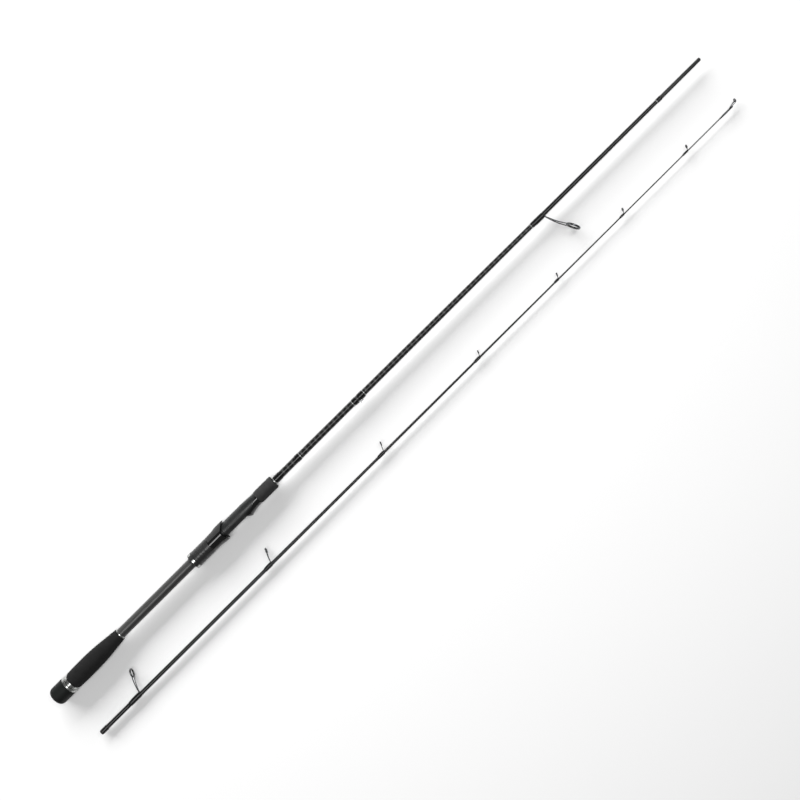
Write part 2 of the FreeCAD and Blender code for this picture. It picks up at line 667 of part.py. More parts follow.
def make_seat():
    bed_start = BED_AT + V["bed_step"]
    core = turned("seat_core", [
        (SEAT_AT, ON_TUBE), (SEAT_AT, ON_TUBE + V["barrel_end_wall"]),
        (SEAT_AT + V["barrel_lead"], BARREL_RADIUS), (BED_AT, BARREL_RADIUS),
        (bed_start, SEAT_RADIUS), (MOUTH_AT, SEAT_RADIUS),
        (SEAT_END, NOSE_RADIUS), (SEAT_END, SEAT_BORE),
        (TUBE_END, SEAT_BORE), (TUBE_END, ON_TUBE)])
    lip = MOUTH_AT + V["lip_run"]
    pocket_stop = lip + V["fixed_pocket_depth"]
    deep = -(FIXED_HOOD_RADIUS + MARGIN)
    wide = SEAT_RADIUS + MARGIN
    flats = []
    for label, start, end, height in (("barrel_flat", SEAT_AT - MARGIN, bed_start, BARREL_FLAT),
                                      ("bed_flat", bed_start, MOUTH_AT, BED_HEIGHT),
                                      ("pocket_flat", MOUTH_AT, pocket_stop, BARREL_FLAT)):
        flats.append(block(label, (start, deep, -wide), (end, -height, wide)))
    bed = cut("seat_bed", core, fuse("seat_flats", flats))

    low = lip + V["fixed_hood_fall"]
    shell_start = MOUTH_AT - MARGIN / 2
    shell = turned("fixed_hood_shell", [
        (shell_start, SEAT_BORE + V["lip_fall"]),
        (shell_start, FIXED_HOOD_RADIUS - V["lip_fall"]),
        (lip, FIXED_HOOD_RADIUS), (low, SEAT_RADIUS + V["fixed_hood_low_rise"]),
        (low + V["nose_run"], NOSE_RADIUS + V["nose_step"]), (SEAT_END, NOSE_RADIUS),
        (SEAT_END, SEAT_BORE + V["lip_fall"])])
    face = prism("fixed_hood_face", [
        (MOUTH_AT, -BED_HEIGHT), (lip, -FIXED_HOOD_RADIUS),
        (lip, deep), (SEAT_END + MARGIN, deep), (SEAT_END + MARGIN, NOSE_RADIUS),
        (SEAT_END - V["palm_run"], NOSE_RADIUS), (lip + V["palm_run"], -NOSE_RADIUS / 4),
        (shell_start, -BED_HEIGHT / 2)], FIXED_HOOD_RADIUS * 2 + MARGIN)
    hood = common("fixed_hood", shell, face)
    pocket = prism("fixed_pocket",
                   pocket_outline(lip, pocket_stop, MOUTH_AT - MARGIN, BARREL_FLAT),
                   V["pocket_width"])
    keep(fuse("seat_body", [bed, cut("fixed_hood_open", hood, pocket)]), BUTT)

    keep(prism("fixed_hood_liner", liner_outline(lip, pocket_stop, 1), V["liner_width"]), BUTT)

    arbors = []
    inset = V["arbor_inset"]
    for number, start in enumerate((TUBE_END + inset, SEAT_END - V["arbor_length"] - inset), 1):
        arbors.append(sleeve(f"arbor_{number}", start, start + V["arbor_length"],
                             butt_radius(start) + V["glue_gap"], SEAT_BORE - V["glue_gap"]))
    keep(group("seat_arbors", arbors), BUTT)


def d_bar(label, radius, start, end, flat):
    """A round bar with one flat on the foot side."""
    bar = rod(label + "_round", radius, end - start, (start, 0, 0))
    side = block(label + "_side", (start - MARGIN, -radius * 2, -radius * 2),
                 (end + MARGIN, -flat, radius * 2))
    return cut(label, bar, side)


def make_sliding_hood():
    palm_end = BED_AT + V["hood_palm_run"]
    tail_lip = TAIL_AT + V["tail_lip_length"]
    outside = turned("hood_outside", [
        (TAIL_AT, 0), (TAIL_AT, TAIL_LIP_RADIUS), (tail_lip, TAIL_LIP_RADIUS),
        (tail_lip, TAIL_RADIUS), (HOOD_AT, TAIL_RADIUS), (HOOD_AT, HOOD_REAR_RADIUS),
        (HOOD_AT + V["hood_waist_run"], HOOD_REAR_RADIUS + V["hood_waist_rise"]),
        (HOOD_AT + V["hood_flare_run"], HOOD_FRONT_RADIUS),
        (palm_end, HOOD_FRONT_RADIUS), (palm_end, 0)])
    wide = HOOD_FRONT_RADIUS + MARGIN
    back_edge = BED_AT - V["hood_back_run"]
    face = prism("hood_face", [
        (TAIL_AT - MARGIN, -wide), (BED_AT, -wide), (BED_AT, -BED_HEIGHT - V["hood_lip_height"]),
        (back_edge, -BED_HEIGHT / 2), (back_edge, BED_HEIGHT / 4),
        (palm_end, HOOD_FRONT_RADIUS), (palm_end, wide), (TAIL_AT - MARGIN, wide)], wide * 2)
    block_out = common("hood_block", outside, face)
    collar_end = HOOD_AT + V["hood_collar_length"]
    collar = d_bar("hood_collar_bore", BARREL_RADIUS + V["slide_gap"],
                   TAIL_AT - MARGIN, collar_end + MARGIN, BARREL_FLAT + V["slide_gap"])
    body_bore = d_bar("hood_body_bore", SEAT_RADIUS + V["slide_gap"],
                      collar_end, palm_end + MARGIN, BED_HEIGHT + V["slide_gap"])
    pocket_stop = BED_AT - V["hood_pocket_depth"]
    pocket = prism("hood_pocket",
                   pocket_outline(BED_AT, pocket_stop, BED_AT + MARGIN, BED_HEIGHT),
                   V["pocket_width"])
    hollow = fuse("hood_hollow", [collar, body_bore, pocket])
    keep(cut("sliding_hood", block_out, hollow), BUTT)

    keep(prism("hood_liner", liner_outline(BED_AT, pocket_stop, -1), V["liner_width"]), BUTT)


def nut_ring(label, gap):
    """The bright ring with its pads, grown by `gap` all round."""
    start = NUT_AT + V["nut_rim"] - gap
    end = start + V["nut_pad_length"] + gap * 2
    hoop = sleeve(label + "_hoop", start, end, NUT_RING_INNER - gap,
                  NUT_RING_INNER + V["nut_ring_wall"] + gap)
    half = V["nut_pad_width"] / 2 + gap
    inner = NUT_RING_INNER + V["nut_pad_root"]
    shapes = [hoop]
    for number in range(PADS):
        pad = DOC.addObject("Part::Box", f"{label}_pad_{number + 1}")
        bind(pad, "Length", end - start)
        bind(pad, "Width", half * 2)
        bind(pad, "Height", NUT_HEAD_RADIUS + V["nut_pad_rise"] - inner + gap)
        turn = 360.0 * number / PADS
        pad.Placement.Rotation = FreeCAD.Rotation(FreeCAD.Vector(1, 0, 0), turn)
        angle = math.radians(turn)
        bind(pad, "Placement.Base.x", start)
        bind(pad, "Placement.Base.y", -inner * math.sin(angle) - half * math.cos(angle))
        bind(pad, "Placement.Base.z", inner * math.cos(angle) - half * math.sin(angle))
        shapes.append(pad)
    return fuse(label, shapes)


def make_nut():
    end = NUT_AT + V["nut_length"]
    head_end = NUT_AT + V["nut_head_length"]
    bore = BARREL_RADIUS + V["slide_gap"]
    recess = TAIL_RADIUS + V["slide_gap"]
    snap = TAIL_LIP_RADIUS + V["slide_gap"]
    lip_end = TAIL_AT + V["tail_lip_length"] + V["slide_gap"]
    outline = [(NUT_AT, bore), (NUT_AT, NUT_HEAD_RADIUS - V["nut_edge"]),
               (NUT_AT + V["nut_edge"], NUT_HEAD_RADIUS),
               (head_end - V["nut_head_step"], NUT_HEAD_RADIUS), (head_end, NUT_RADIUS)]
    low = NUT_RADIUS - V["nut_groove_depth"]
    quarter = V["nut_groove_width"] / 4
    for number in range(NUT_GROOVES):
        groove = head_end + V["nut_groove_start"] + V["nut_groove_pitch"] * number
        outline += [(groove, NUT_RADIUS), (groove + quarter, low),
                    (groove + quarter * 3, low), (groove + quarter * 4, NUT_RADIUS)]
    outline += [(end, NUT_RADIUS), (end, recess), (lip_end, recess), (lip_end, snap),
                (TAIL_AT - V["slide_gap"], snap), (TAIL_AT - V["slide_gap"], bore)]
    room = nut_ring("nut_ring_room", V["glue_gap"])
    keep(cut("lock_nut", turned("nut_turned", outline), room), BUTT)
    keep(nut_ring("lock_nut_ring", size(0)), BUTT)


# ---------------------------------------------------------------- foregrip and plain wraps
def make_foregrip():
    outside = NOSE_RADIUS + V["foregrip_step"]
    grip = sleeve("foregrip", SEAT_END, CHECK_AT, butt_radius(SEAT_END) + V["glue_gap"], outside)
    rounded(grip, V["foregrip_round"], circle_at(CHECK_AT, outside))
    keep(grip, BUTT)
    blank = butt_radius(CHECK_AT)
    keep(sleeve("winding_check", CHECK_AT, GRIP_WRAP_AT, blank + V["glue_gap"],
                blank + V["check_wall"]), BUTT)


def wrap_outline(start, end, radius_at, rear_height, front_height):
    """Outline of a varnished thread wrap, low at the ends and full between."""
    bore = radius_at(start) + V["glue_gap"]
    ramp = (end - start) * WRAP_RAMP
    return [(start, bore), (start, bore + V["glue_gap"] * 3),
            (start + ramp, radius_at(start) + rear_height),
            (end - ramp, radius_at(end) + front_height),
            (end, radius_at(end) + front_height * WRAP_END), (end, bore)]


def plain_wrap(label, start, end, radius_at, section):
    keep(turned(label, wrap_outline(start, end, radius_at, V["wrap_height"],
                                    V["wrap_height"])), section)


def make_plain_wraps():
    plain_wrap("foregrip_wrap", GRIP_WRAP_AT, GRIP_WRAP_AT + V["grip_wrap_length"],
               butt_radius, BUTT)
    plain_wrap("marker_wrap", MARKER_AT, MARKER_BAND_AT, butt_radius, BUTT)
    plain_wrap("spigot_wrap", SPIGOT_AT - V["spigot_wrap_length"], SPIGOT_AT,
               butt_radius, BUTT)
    ends = FERRULE_WRAP_RADIUS - V["ferrule_wrap_drop"]
    bore = TIP_REAR_RADIUS + V["glue_gap"]
    length = V["ferrule_wrap_length"]
    curve = V["ferrule_wrap_round"]
    keep(turned("tip_ferrule_wrap", [
        (0, bore), (0, ends), (curve, FERRULE_WRAP_RADIUS),
        (length - curve, FERRULE_WRAP_RADIUS), (length, ends), (length, bore)]), TIP)

    bands = []
    places = (MARKER_BAND_AT, KEEPER_AT - V["band_length"], KEEPER_END,
              GUIDE_1_WRAP_AT - V["band_length"],
              SPIGOT_AT - V["spigot_wrap_length"] - V["band_length"])
    for number, start in enumerate(places, start=1):
        radius = butt_radius(start)
        bands.append(sleeve(f"band_{number}", start, start + V["band_length"],
                            radius + V["glue_gap"], radius + V["band_height"]))
    keep(group("butt_trim_bands", bands), BUTT)


# ---------------------------------------------------------------- hook keeper
def make_keeper():
    strip_y = butt_radius(KEEPER_AT) + V["glue_gap"]
    top_y = strip_y + V["keeper_thickness"]
    half = V["keeper_width"] / 2
    ends = (KEEPER_AT + V["keeper_inset"], KEEPER_END - V["keeper_inset"])
    pin_x = (KEEPER_WINDOW_AT + KEEPER_FRONT_AT) / 2
    pin_y = top_y + V["keeper_barrel_radius"] - V["keeper_barrel_sink"]
    strip = block("keeper_strip", (ends[0], -top_y, -half), (ends[1], -strip_y, half))
    barrel = rod("keeper_barrel", V["keeper_barrel_radius"], V["keeper_width"],
                 (pin_x, -pin_y, -half), (0, 0, 1), 0.0)
    bore = rod("keeper_bore", V["keeper_wire_radius"] + V["keeper_pin_gap"],
               V["keeper_width"] + MARGIN, (pin_x, -pin_y, -half - MARGIN / 2),
               (0, 0, 1), 0.0)
    keep(cut("keeper_frame", fuse("keeper_solid", [strip, barrel]), bore), BUTT)

    gap = V["glue_gap"]
    for label, start, end in (("keeper_rear_wrap", KEEPER_AT, KEEPER_WINDOW_AT),
                              ("keeper_front_wrap", KEEPER_FRONT_AT, KEEPER_END)):
        cover = turned(label + "_round", wrap_outline(
            start, end, butt_radius, V["wrap_height"] + V["keeper_thickness"],
            V["wrap_height"] + V["keeper_thickness"]))
        room = block(label + "_room", (ends[0] - gap, -top_y - gap, -half - gap),
                     (ends[1] + gap, -strip_y + MARGIN, half + gap))
        keep(cut(label, cover, room), BUTT)

    # the loop lies folded towards the tip: a pin through the barrel, two legs and a round bow
    wire = V["keeper_wire_radius"]
    arm = half + wire + V["keeper_loop_gap"]
    leg = V["keeper_loop_length"] - arm - wire
    pin = rod("loop_pin", wire, arm * 2, (0, 0, -arm), (0, 0, 1), 0.0)
    shapes = [pin]
    for side, number in ((-1, 1), (1, 2)):
        shapes.append(rod(f"loop_leg_{number}", wire, leg, (0, 0, arm * side)))
        elbow = DOC.addObject("Part::Sphere", f"loop_elbow_{number}")
        bind(elbow, "Radius", wire)
        bind(elbow, "Placement.Base.z", arm * side)
        shapes.append(elbow)
    bow = DOC.addObject("Part::Torus", "loop_bow")
    bind(bow, "Radius1", arm)
    bind(bow, "Radius2", wire)
    bow.Angle3 = 180.0
    # half a ring that lies in the XZ plane and swells towards +X
    bow.Placement.Rotation = FreeCAD.Rotation(FreeCAD.Vector(1, 0, 0), FreeCAD.Vector(0, 0, 1),
                                              FreeCAD.Vector(0, -1, 0), "ZXY")
    bind(bow, "Placement.Base.x", leg)
    shapes.append(bow)
    keep(fuse("keeper_loop", shapes), BUTT, pin_x, -pin_y)


# ---------------------------------------------------------------- guides
def guide_frame_upper(name, side, rise, hoop, wire, wall, width, root):
    """Hoop and two legs, drawn upright from the leg's foot at the origin."""
    centre_y = rise * side
    outer = rod(name + "_hoop_out", hoop, width, (-width / 2, centre_y, 0))
    inner = rod(name + "_hoop_in", hoop - wall, width + MARGIN,
                (-width / 2 - MARGIN / 2, centre_y, 0))
    shapes = [outer]
    mean = hoop - wall / 2
    # the legs meet the hoop a sixth of a turn either side of its lowest point
    reach = rise - mean * math.cos(math.radians(60))
    spread = mean * math.sin(math.radians(60)) - root
    length = span(spread, reach)
    for hand, number in ((-1, 1), (1, 2)):
        # a bar along Z turned about X: from the foot to the hoop's flank
        angle = (size(90) - slope(spread, reach) * hand) * (-side)
        shapes.append(rod(f"{name}_leg_{number}", wire, length, (0, 0, root * hand),
                          (1, 0, 0), angle))
    return cut(name + "_upper", fuse(name + "_upper_solid", shapes), inner)


def foot_outline(start, end, under, floor, thick, side):
    """Side outline of a guide's foot, which thins towards its rear end."""
    return [(start, under * side), (end, under * side), (end, (floor + thick) * side),
            (start, (floor + V["foot_tip"]) * side)]


def ring_outline(flank, bore, eye):
    """Outline of a ceramic ring, round on the inside."""
    edge = eye + flank * EYE_ROUND
    return [(-flank, bore), (flank, bore), (flank, edge, flank * EYE_CURVE), (-flank, edge)]


def make_guide(name, leg_x, radius_at, side, section):
    """Frame, ceramic ring and thread wrap of one single-foot guide; its leg stands at leg_x."""
    column = {key: V[f"{name}_{key}"] for key in GUIDE_COLUMNS}
    wrap_end = leg_x - V["foot_reach"]
    wrap_start = wrap_end - column["wrap_length"]
    floor = radius_at(wrap_start) + V["glue_gap"]
    thick = column["foot_thickness"]
    half = column["foot_width"] / 2
    wire = column["wire_radius"]
    root = half - wire
    base_y = floor + thick / 2
    lean = column["lean"]
    rise = (column["height"] - base_y) / cosine(lean)

    upper = guide_frame_upper(name, side, rise, column["hoop_radius"], wire,
                              column["hoop_wall"], column["hoop_width"], root)
    upper.Placement.Rotation = FreeCAD.Rotation(FreeCAD.Vector(0, 0, 1),
                                                -side * lean.value)
    bind(upper, "Placement.Rotation.Angle", lean * (-side))
    bind(upper, "Placement.Base.x", leg_x)
    bind(upper, "Placement.Base.y", base_y * side)
    foot_start = wrap_start + V["foot_inset"]
    foot = prism(name + "_foot", foot_outline(foot_start, leg_x + wire, floor, floor,
                                              thick, side), column["foot_width"])
    keep(fuse(name + "_frame", [upper, foot]), section)

    hoop_bore = column["hoop_radius"] - column["hoop_wall"] - V["glue_gap"]
    eye = hoop_bore - column["insert_wall"]
    flank = column["hoop_width"] / 2 + V["insert_proud"]
    keep(turned(name + "_ring", ring_outline(flank, hoop_bore, eye)), section,
        leg_x + rise * sine(lean), (base_y + rise * cosine(lean)) * side, lean * (-side))

    cover = turned(name + "_cover", wrap_outline(wrap_start, wrap_end, radius_at,
                                                 V["wrap_height"], thick + V["foot_cover"]))
    gap = V["glue_gap"]
    room = prism(name + "_room", foot_outline(foot_start - gap, leg_x + wire,
                                              floor - MARGIN, floor + gap, thick, side),
                 column["foot_width"] + gap * 2)
    keep(cut(name + "_wrap", cover, room), section)


def make_guides():
    leg_1 = GUIDE_1_WRAP_AT + V["guide_1_wrap_length"] + V["foot_reach"]
    make_guide("guide_1", leg_1, butt_radius, FOOT_SIDE, BUTT)
    gaps = [V[f"gap_{number}"] for number in range(2, 9)]
    total = gaps[0]
    for gap in gaps[1:]:
        total = total + gap
    reach = TOP_RING_AT - V["guide_2_place"]
    place = V["guide_2_place"]
    for number, gap in enumerate(gaps, start=2):
        make_guide(f"guide_{number}", place, tip_radius, TIP_SIDE, TIP)
        place = place + reach * gap / total


# ---------------------------------------------------------------- tip-top
def make_tip_top():
    tube_end = V["tip_blank_length"] + V["top_tube_cover"]
    bore = tip_radius(TOP_TUBE_AT) + V["glue_gap"]
    tube_radius = bore + V["top_tube_wall"]
    tube = rod("top_tube", tube_radius, V["top_tube_length"], (TOP_TUBE_AT, 0, 0))
    tube_bore = rod("top_tube_bore", bore, V["top_tube_length"] - V["top_tube_cover"] + MARGIN,
                    (TOP_TUBE_AT - MARGIN, 0, 0))
    hoop_r = V["top_hoop_radius"]
    width = V["top_hoop_width"]
    lean = V["top_lean"]
    reach = width / 2 + MARGIN
    outer = aimed_bar("top_hoop_out", hoop_r,
                      (TOP_RING_AT - width / 2 * cosine(lean),
                       V["top_height"] + width / 2 * sine(lean), size(0)),
                      width * cosine(lean), -width * sine(lean), size(0))
    inner = aimed_bar("top_hoop_in", hoop_r - V["top_hoop_wall"],
                      (TOP_RING_AT - reach * cosine(lean),
                       V["top_height"] + reach * sine(lean), size(0)),
                      reach * 2 * cosine(lean), -reach * 2 * sine(lean), size(0))

    wire = V["top_wire_radius"]
    mean = hoop_r - V["top_hoop_wall"] / 2
    # the spine runs from the tube's front to the bottom of the hoop
    spine_from = (tube_end - V["top_spine_run"], tube_radius / 3, size(0))
    shapes = [tube, outer, aimed_bar(
        "top_spine", wire, spine_from, TOP_RING_AT - mean * sine(lean) - spine_from[0],
        V["top_height"] - mean * cosine(lean) - spine_from[1], size(0))]
    # two braces run from the tube to the flanks of the hoop
    root = tube_radius * BRACE_ROOT
    for hand, number in ((-1, 1), (1, 2)):
        brace_from = (tube_end - V["top_brace_run"], root / 2, root * hand)
        shapes.append(aimed_bar(f"top_brace_{number}", wire, brace_from,
                                TOP_RING_AT - brace_from[0], V["top_height"] - brace_from[1],
                                (mean - root) * hand))
    holes = fuse("top_holes", [inner, tube_bore])
    keep(cut("tip_top_frame", fuse("top_solid", shapes), holes), TIP)

    hoop_bore = hoop_r - V["top_hoop_wall"] - V["glue_gap"]
    eye = hoop_bore - V["top_insert_wall"]
    flank = width / 2 + V["insert_proud"]
    keep(turned("tip_top_ring", ring_outline(flank, hoop_bore, eye)), TIP,
         TOP_RING_AT, V["top_height"], -lean)

    wrap_start = TOP_TUBE_AT - V["top_wrap_length"]
    bore = tip_radius(wrap_start) + V["glue_gap"]
    low = tube_radius - V["top_wrap_drop"]
    keep(turned("tip_top_wrap", [
        (wrap_start, bore), (wrap_start, bore + V["glue_gap"] * 3),
        (wrap_start + V["top_wrap_ramp"], low),
        (TOP_TUBE_AT - V["glue_gap"], low), (TOP_TUBE_AT - V["glue_gap"], bore)]), TIP)


def aimed_bar(label, radius, start, along, across, sideways):
    """A bar that starts at a point and runs `along` X, `across` Y and `sideways` along Z."""
    bar = rod(label, radius, span(span(along, across), sideways), start)
    aim = FreeCAD.Vector(along.value, across.value, sideways.value)
    bar.Placement.Rotation = FreeCAD.Rotation(FreeCAD.Vector(0, 0, 1), aim)
    return bar


# ---------------------------------------------------------------- build, check and write
def check_all():
    """Stop on any failed object or bad shape before a file is written."""
    faults = []
    for item in DOC.Objects:
        if "Invalid" in item.State or "Error" in item.State:
            faults.append(f"{item.Label}: {item.State}")
    for piece in NODES:
        if piece.Shape.isNull() or not piece.Shape.isValid() or not piece.Shape.Solids:
            faults.append(f"{piece.Label}: no valid solid")
    if faults:
        raise RuntimeError("; ".join(faults))


def write_all():
    os.makedirs("parts", exist_ok=True)
    for piece in NODES:
        piece.Shape.exportStep(f"parts/{piece.Label}.step")


def main():
    make_blanks()
    make_butt_end()
    make_handle()
    make_seat()
    make_sliding_hood()
    make_nut()
    make_foregrip()
    make_plain_wraps()
    make_keeper()
    make_guides()
    make_tip_top()
    DOC.recompute()
    check_all()
    write_all()


main()
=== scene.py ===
"""Looks of a two-piece spinning rod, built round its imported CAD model.

Lengths are millimetres in every class and metres in the meshes. X runs from the butt to the
tips, the butt section's guides face -Y and the tip section's face +Y.
"""
import logging
import math
from contextlib import contextmanager
from dataclasses import dataclass
from enum import Enum
from typing import Any, Callable, Iterator, Sequence

import bmesh
import bpy
from mathutils import Matrix, Vector


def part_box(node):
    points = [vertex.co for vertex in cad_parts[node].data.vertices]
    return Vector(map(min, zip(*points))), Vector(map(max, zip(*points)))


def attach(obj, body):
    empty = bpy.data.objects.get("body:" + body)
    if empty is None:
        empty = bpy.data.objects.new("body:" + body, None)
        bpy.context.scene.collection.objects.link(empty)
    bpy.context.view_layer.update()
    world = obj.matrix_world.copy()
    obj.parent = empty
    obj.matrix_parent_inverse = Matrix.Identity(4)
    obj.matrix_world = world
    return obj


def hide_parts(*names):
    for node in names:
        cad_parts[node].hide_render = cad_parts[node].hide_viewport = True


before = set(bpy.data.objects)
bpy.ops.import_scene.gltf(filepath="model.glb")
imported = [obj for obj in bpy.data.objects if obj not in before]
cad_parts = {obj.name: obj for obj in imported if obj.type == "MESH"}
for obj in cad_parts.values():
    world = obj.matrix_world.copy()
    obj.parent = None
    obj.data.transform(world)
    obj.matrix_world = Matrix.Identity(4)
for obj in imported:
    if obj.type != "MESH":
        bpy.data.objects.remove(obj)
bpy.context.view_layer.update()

MM = 0.001
LOG = logging.getLogger("spinning_rod")
Piece = bpy.types.Object
Socket = bpy.types.NodeSocket
Point = tuple[float, float]
Spot = tuple[float, float, float]
ROUND = 96             # sides of the larger turned pieces
BAR_ROUND = 48         # sides of the blanks and of the wraps on them
WELD = 1e-3            # vertices closer than this are merged
WELD_AFTER_CUT = 2e-3  # the same after a boolean, which leaves slivers
OVER = 2.0             # how far a cutting tool runs past what it cuts
GLUE_GAP = 0.05        # how far a foot or a strip stands off the blank


# ------------------------------------------------------------------ places read from the frame
class Side(Enum):
    """Which way the guides and the reel foot of a section face, along Y."""

    FOOT = -1
    TIP = 1


@dataclass(frozen=True)
class Section:
    """One half of the rod: its CAD body, the axis that its pieces are turned about, its side."""

    body: str
    axis_y: float
    axis_z: float
    side: Side

    @classmethod
    def through(cls, body: str, node: str, side: Side) -> "Section":
        """Read a section's axis from a round CAD node.

        Args:
            body: name of the CAD body.
            node: a CAD node that is round about the axis.
            side: the way the section's guides face.

        Returns:
            The section.
        """
        low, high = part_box(node)
        return cls(body, (low.y + high.y) / 2 / MM, (low.z + high.z) / 2 / MM, side)

    def spot(self, x: float, across: float = 0.0, up: float = 0.0) -> Spot:
        """Return a point in metres, `across` towards the guides and `up` from the axis."""
        return (x * MM, (self.axis_y + across * self.side.value) * MM, (self.axis_z + up) * MM)


def reach(node: str) -> Point:
    """Return where a CAD node starts and ends along X."""
    low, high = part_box(node)
    return low.x / MM, high.x / MM


def radius_of(node: str) -> float:
    """Return half of a CAD node's height, which is the radius of a round one."""
    low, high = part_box(node)
    return (high.z - low.z) / 2 / MM


def rim_of(node: str, section: Section, least: float) -> list[Point]:
    """Read the outside of a turned CAD node.

    Args:
        node: a CAD node turned about the section's axis.
        section: the section it sits on.
        least: radius below which a vertex belongs to the node's bore.

    Returns:
        The largest radius at each place along X that holds vertices, in order.
    """
    rim: dict[float, float] = {}
    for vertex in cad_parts[node].data.vertices:
        place = round(vertex.co.x / MM, 2)
        radius = math.hypot(vertex.co.y / MM - section.axis_y, vertex.co.z / MM - section.axis_z)
        if radius > least:
            rim[place] = max(rim.get(place, 0.0), radius)
    return sorted(rim.items())


@dataclass(frozen=True)
class Taper:
    """A radius that runs straight between stations along X."""

    stations: tuple[Point, ...]

    def at(self, x: float) -> float:
        """Return the radius at `x`.

        Args:
            x: a place along X.

        Returns:
            The radius, straight between the stations on each side.
        """
        for (start, first), (end, last) in zip(self.stations, self.stations[1:]):
            if x <= end:
                return first + (last - first) * max(x - start, 0.0) / (end - start)
        return self.stations[-1][1]


BUTT = Section.through("butt_section", "butt_cap", Side.FOOT)
TIP = Section.through("tip_section", "tip_ferrule_wrap", Side.TIP)
BUTT_TAPER = Taper(((-661.5, 6.2), (-215.2, 5.55), (320.5, 3.62), (669.5, 2.75)))
TIP_TAPER = Taper(((-660.5, 3.45), (374.5, 1.02), (656.5, 0.76)))


# ------------------------------------------------------------------ modelling by hand, in code
def choose_only(piece: Piece) -> None:
    """Leave this piece as the only selected object, and the active one.

    Args:
        piece: the piece to select.
    """
    bpy.ops.object.select_all(action="DESELECT")
    bpy.context.view_layer.objects.active = piece
    piece.select_set(True)


@contextmanager
def editing(piece: Piece) -> Iterator[None]:
    """Edit one piece, with nothing on it selected at the start.

    Args:
        piece: the piece to edit.

    Returns:
        A context that ends in object mode.
    """
    choose_only(piece)
    bpy.ops.object.mode_set(mode="EDIT")
    bpy.ops.mesh.select_mode(type="VERT")
    bpy.ops.mesh.select_all(action="DESELECT")
    yield
    bpy.ops.object.mode_set(mode="OBJECT")


def started(name: str) -> Piece:
    """Name the primitive that was just added, and put its place into its mesh.

    Args:
        name: the new object's name, and its mesh's.

    Returns:
        The piece.
    """
    piece = bpy.context.object
    piece.name = name
    piece.data.name = name
    bpy.ops.object.transform_apply(location=True, rotation=True, scale=True)
    return piece


def pick_faces(piece: Piece, test: Callable[[Vector, Vector], bool]) -> int:
    """Select faces in edit mode.

    Args:
        piece: the piece being edited.
        test: takes a face's middle in millimetres and its normal.

    Returns:
        How many faces were selected.
    """
    bpy.ops.mesh.select_mode(type="FACE")
    cage = bmesh.from_edit_mesh(piece.data)
    picked = 0
    for face in cage.faces:
        chosen = test(face.calc_center_median() / MM, face.normal)
        face.select_set(chosen)
        picked += chosen
    bmesh.update_edit_mesh(piece.data)
    return picked


def modified(piece: Piece, kind: str, **settings: Any) -> Piece:
    """Add a modifier, set it and apply it.

    Args:
        piece: the piece.
        kind: the modifier's type.
        settings: the modifier's own settings.

    Returns:
        The same piece.
    """
    choose_only(piece)
    modifier = piece.modifiers.new(kind.title(), kind)
    for key, value in settings.items():
        setattr(modifier, key, value)
    bpy.ops.object.modifier_apply(modifier=modifier.name)
    return piece


def eased(piece: Piece, width: float, segments: int = 2, angle: float = 30.0) -> Piece:
    """Round the sharp edges of a piece by `width`, where they turn by more than `angle`."""
    return modified(piece, "BEVEL", width=width * MM, segments=segments, limit_method="ANGLE",
                    angle_limit=math.radians(angle), use_clamp_overlap=True)


def carved(piece: Piece, tool: Piece, operation: str = "DIFFERENCE") -> Piece:
    """Cut a piece with a closed tool, or join or intersect them, and drop the tool.

    Args:
        piece: the piece.
        tool: a closed mesh, which is used up.
        operation: what the boolean does.

    Returns:
        The same piece, with the slivers of the cut merged away.
    """
    modified(piece, "BOOLEAN", object=tool, operation=operation, solver="EXACT")
    bpy.data.objects.remove(tool)
    with editing(piece):
        bpy.ops.mesh.select_all(action="SELECT")
        bpy.ops.mesh.remove_doubles(threshold=MM * WELD_AFTER_CUT)
        bpy.ops.mesh.dissolve_degenerate(threshold=MM * WELD_AFTER_CUT)
    return piece


def joined(name: str, pieces: Sequence[Piece]) -> Piece:
    """Join several pieces into one object.

    Args:
        name: name of the joined piece.
        pieces: the pieces, the first of which takes in the others.

    Returns:
        The joined piece.
    """
    choose_only(pieces[0])
    for piece in pieces[1:]:
        piece.select_set(True)
    bpy.ops.object.join()
    pieces[0].name = name
    pieces[0].data.name = name
    return pieces[0]


def chain(name: str, spots: Sequence[Spot]) -> Piece:
    """Draw a line of edges.

    Args:
        name: name of the new object.
        spots: the points of the line, in metres.

    Returns:
        An object with one vertex extruded to the next along the line.
    """
    bpy.ops.mesh.primitive_circle_add(vertices=3, radius=MM, location=spots[0])
    piece = started(name)
    with editing(piece):
        bpy.ops.mesh.select_all(action="SELECT")
        bpy.ops.mesh.merge(type="CENTER")
        for start, end in zip(spots, spots[1:]):
            step = [b - a for a, b in zip(start, end)]
            bpy.ops.mesh.extrude_vertices_move(TRANSFORM_OT_translate={"value": step})
    return piece


def turned(name: str, section: Section, outline: Sequence[Point], steps: int = 72) -> Piece:
    """Turn an outline about a section's axis, as on a lathe.

    Args:
        name: name of the new piece.
        section: gives the axis.
        outline: (x, radius) corners of the closed half section, in order.
        steps: sides of the round.

    Returns:
        The closed piece.
    """
    corners = list(outline)
    if corners[0][1] > 0 or corners[-1][1] > 0:
        corners.append(corners[0])
    side = section.side.value
    piece = chain(name, [section.spot(x, radius * side) for x, radius in corners])
    with editing(piece):
        bpy.ops.mesh.select_all(action="SELECT")
        bpy.ops.mesh.spin(steps=steps, angle=math.tau, center=section.spot(0.0),
                          axis=(1.0, 0.0, 0.0))
        bpy.ops.mesh.select_all(action="SELECT")
        bpy.ops.mesh.remove_doubles(threshold=MM * WELD)
        bpy.ops.mesh.delete_loose(use_verts=True, use_edges=True, use_faces=False)
        bpy.ops.mesh.select_all(action="SELECT")
        bpy.ops.mesh.normals_make_consistent(inside=False)
    return piece


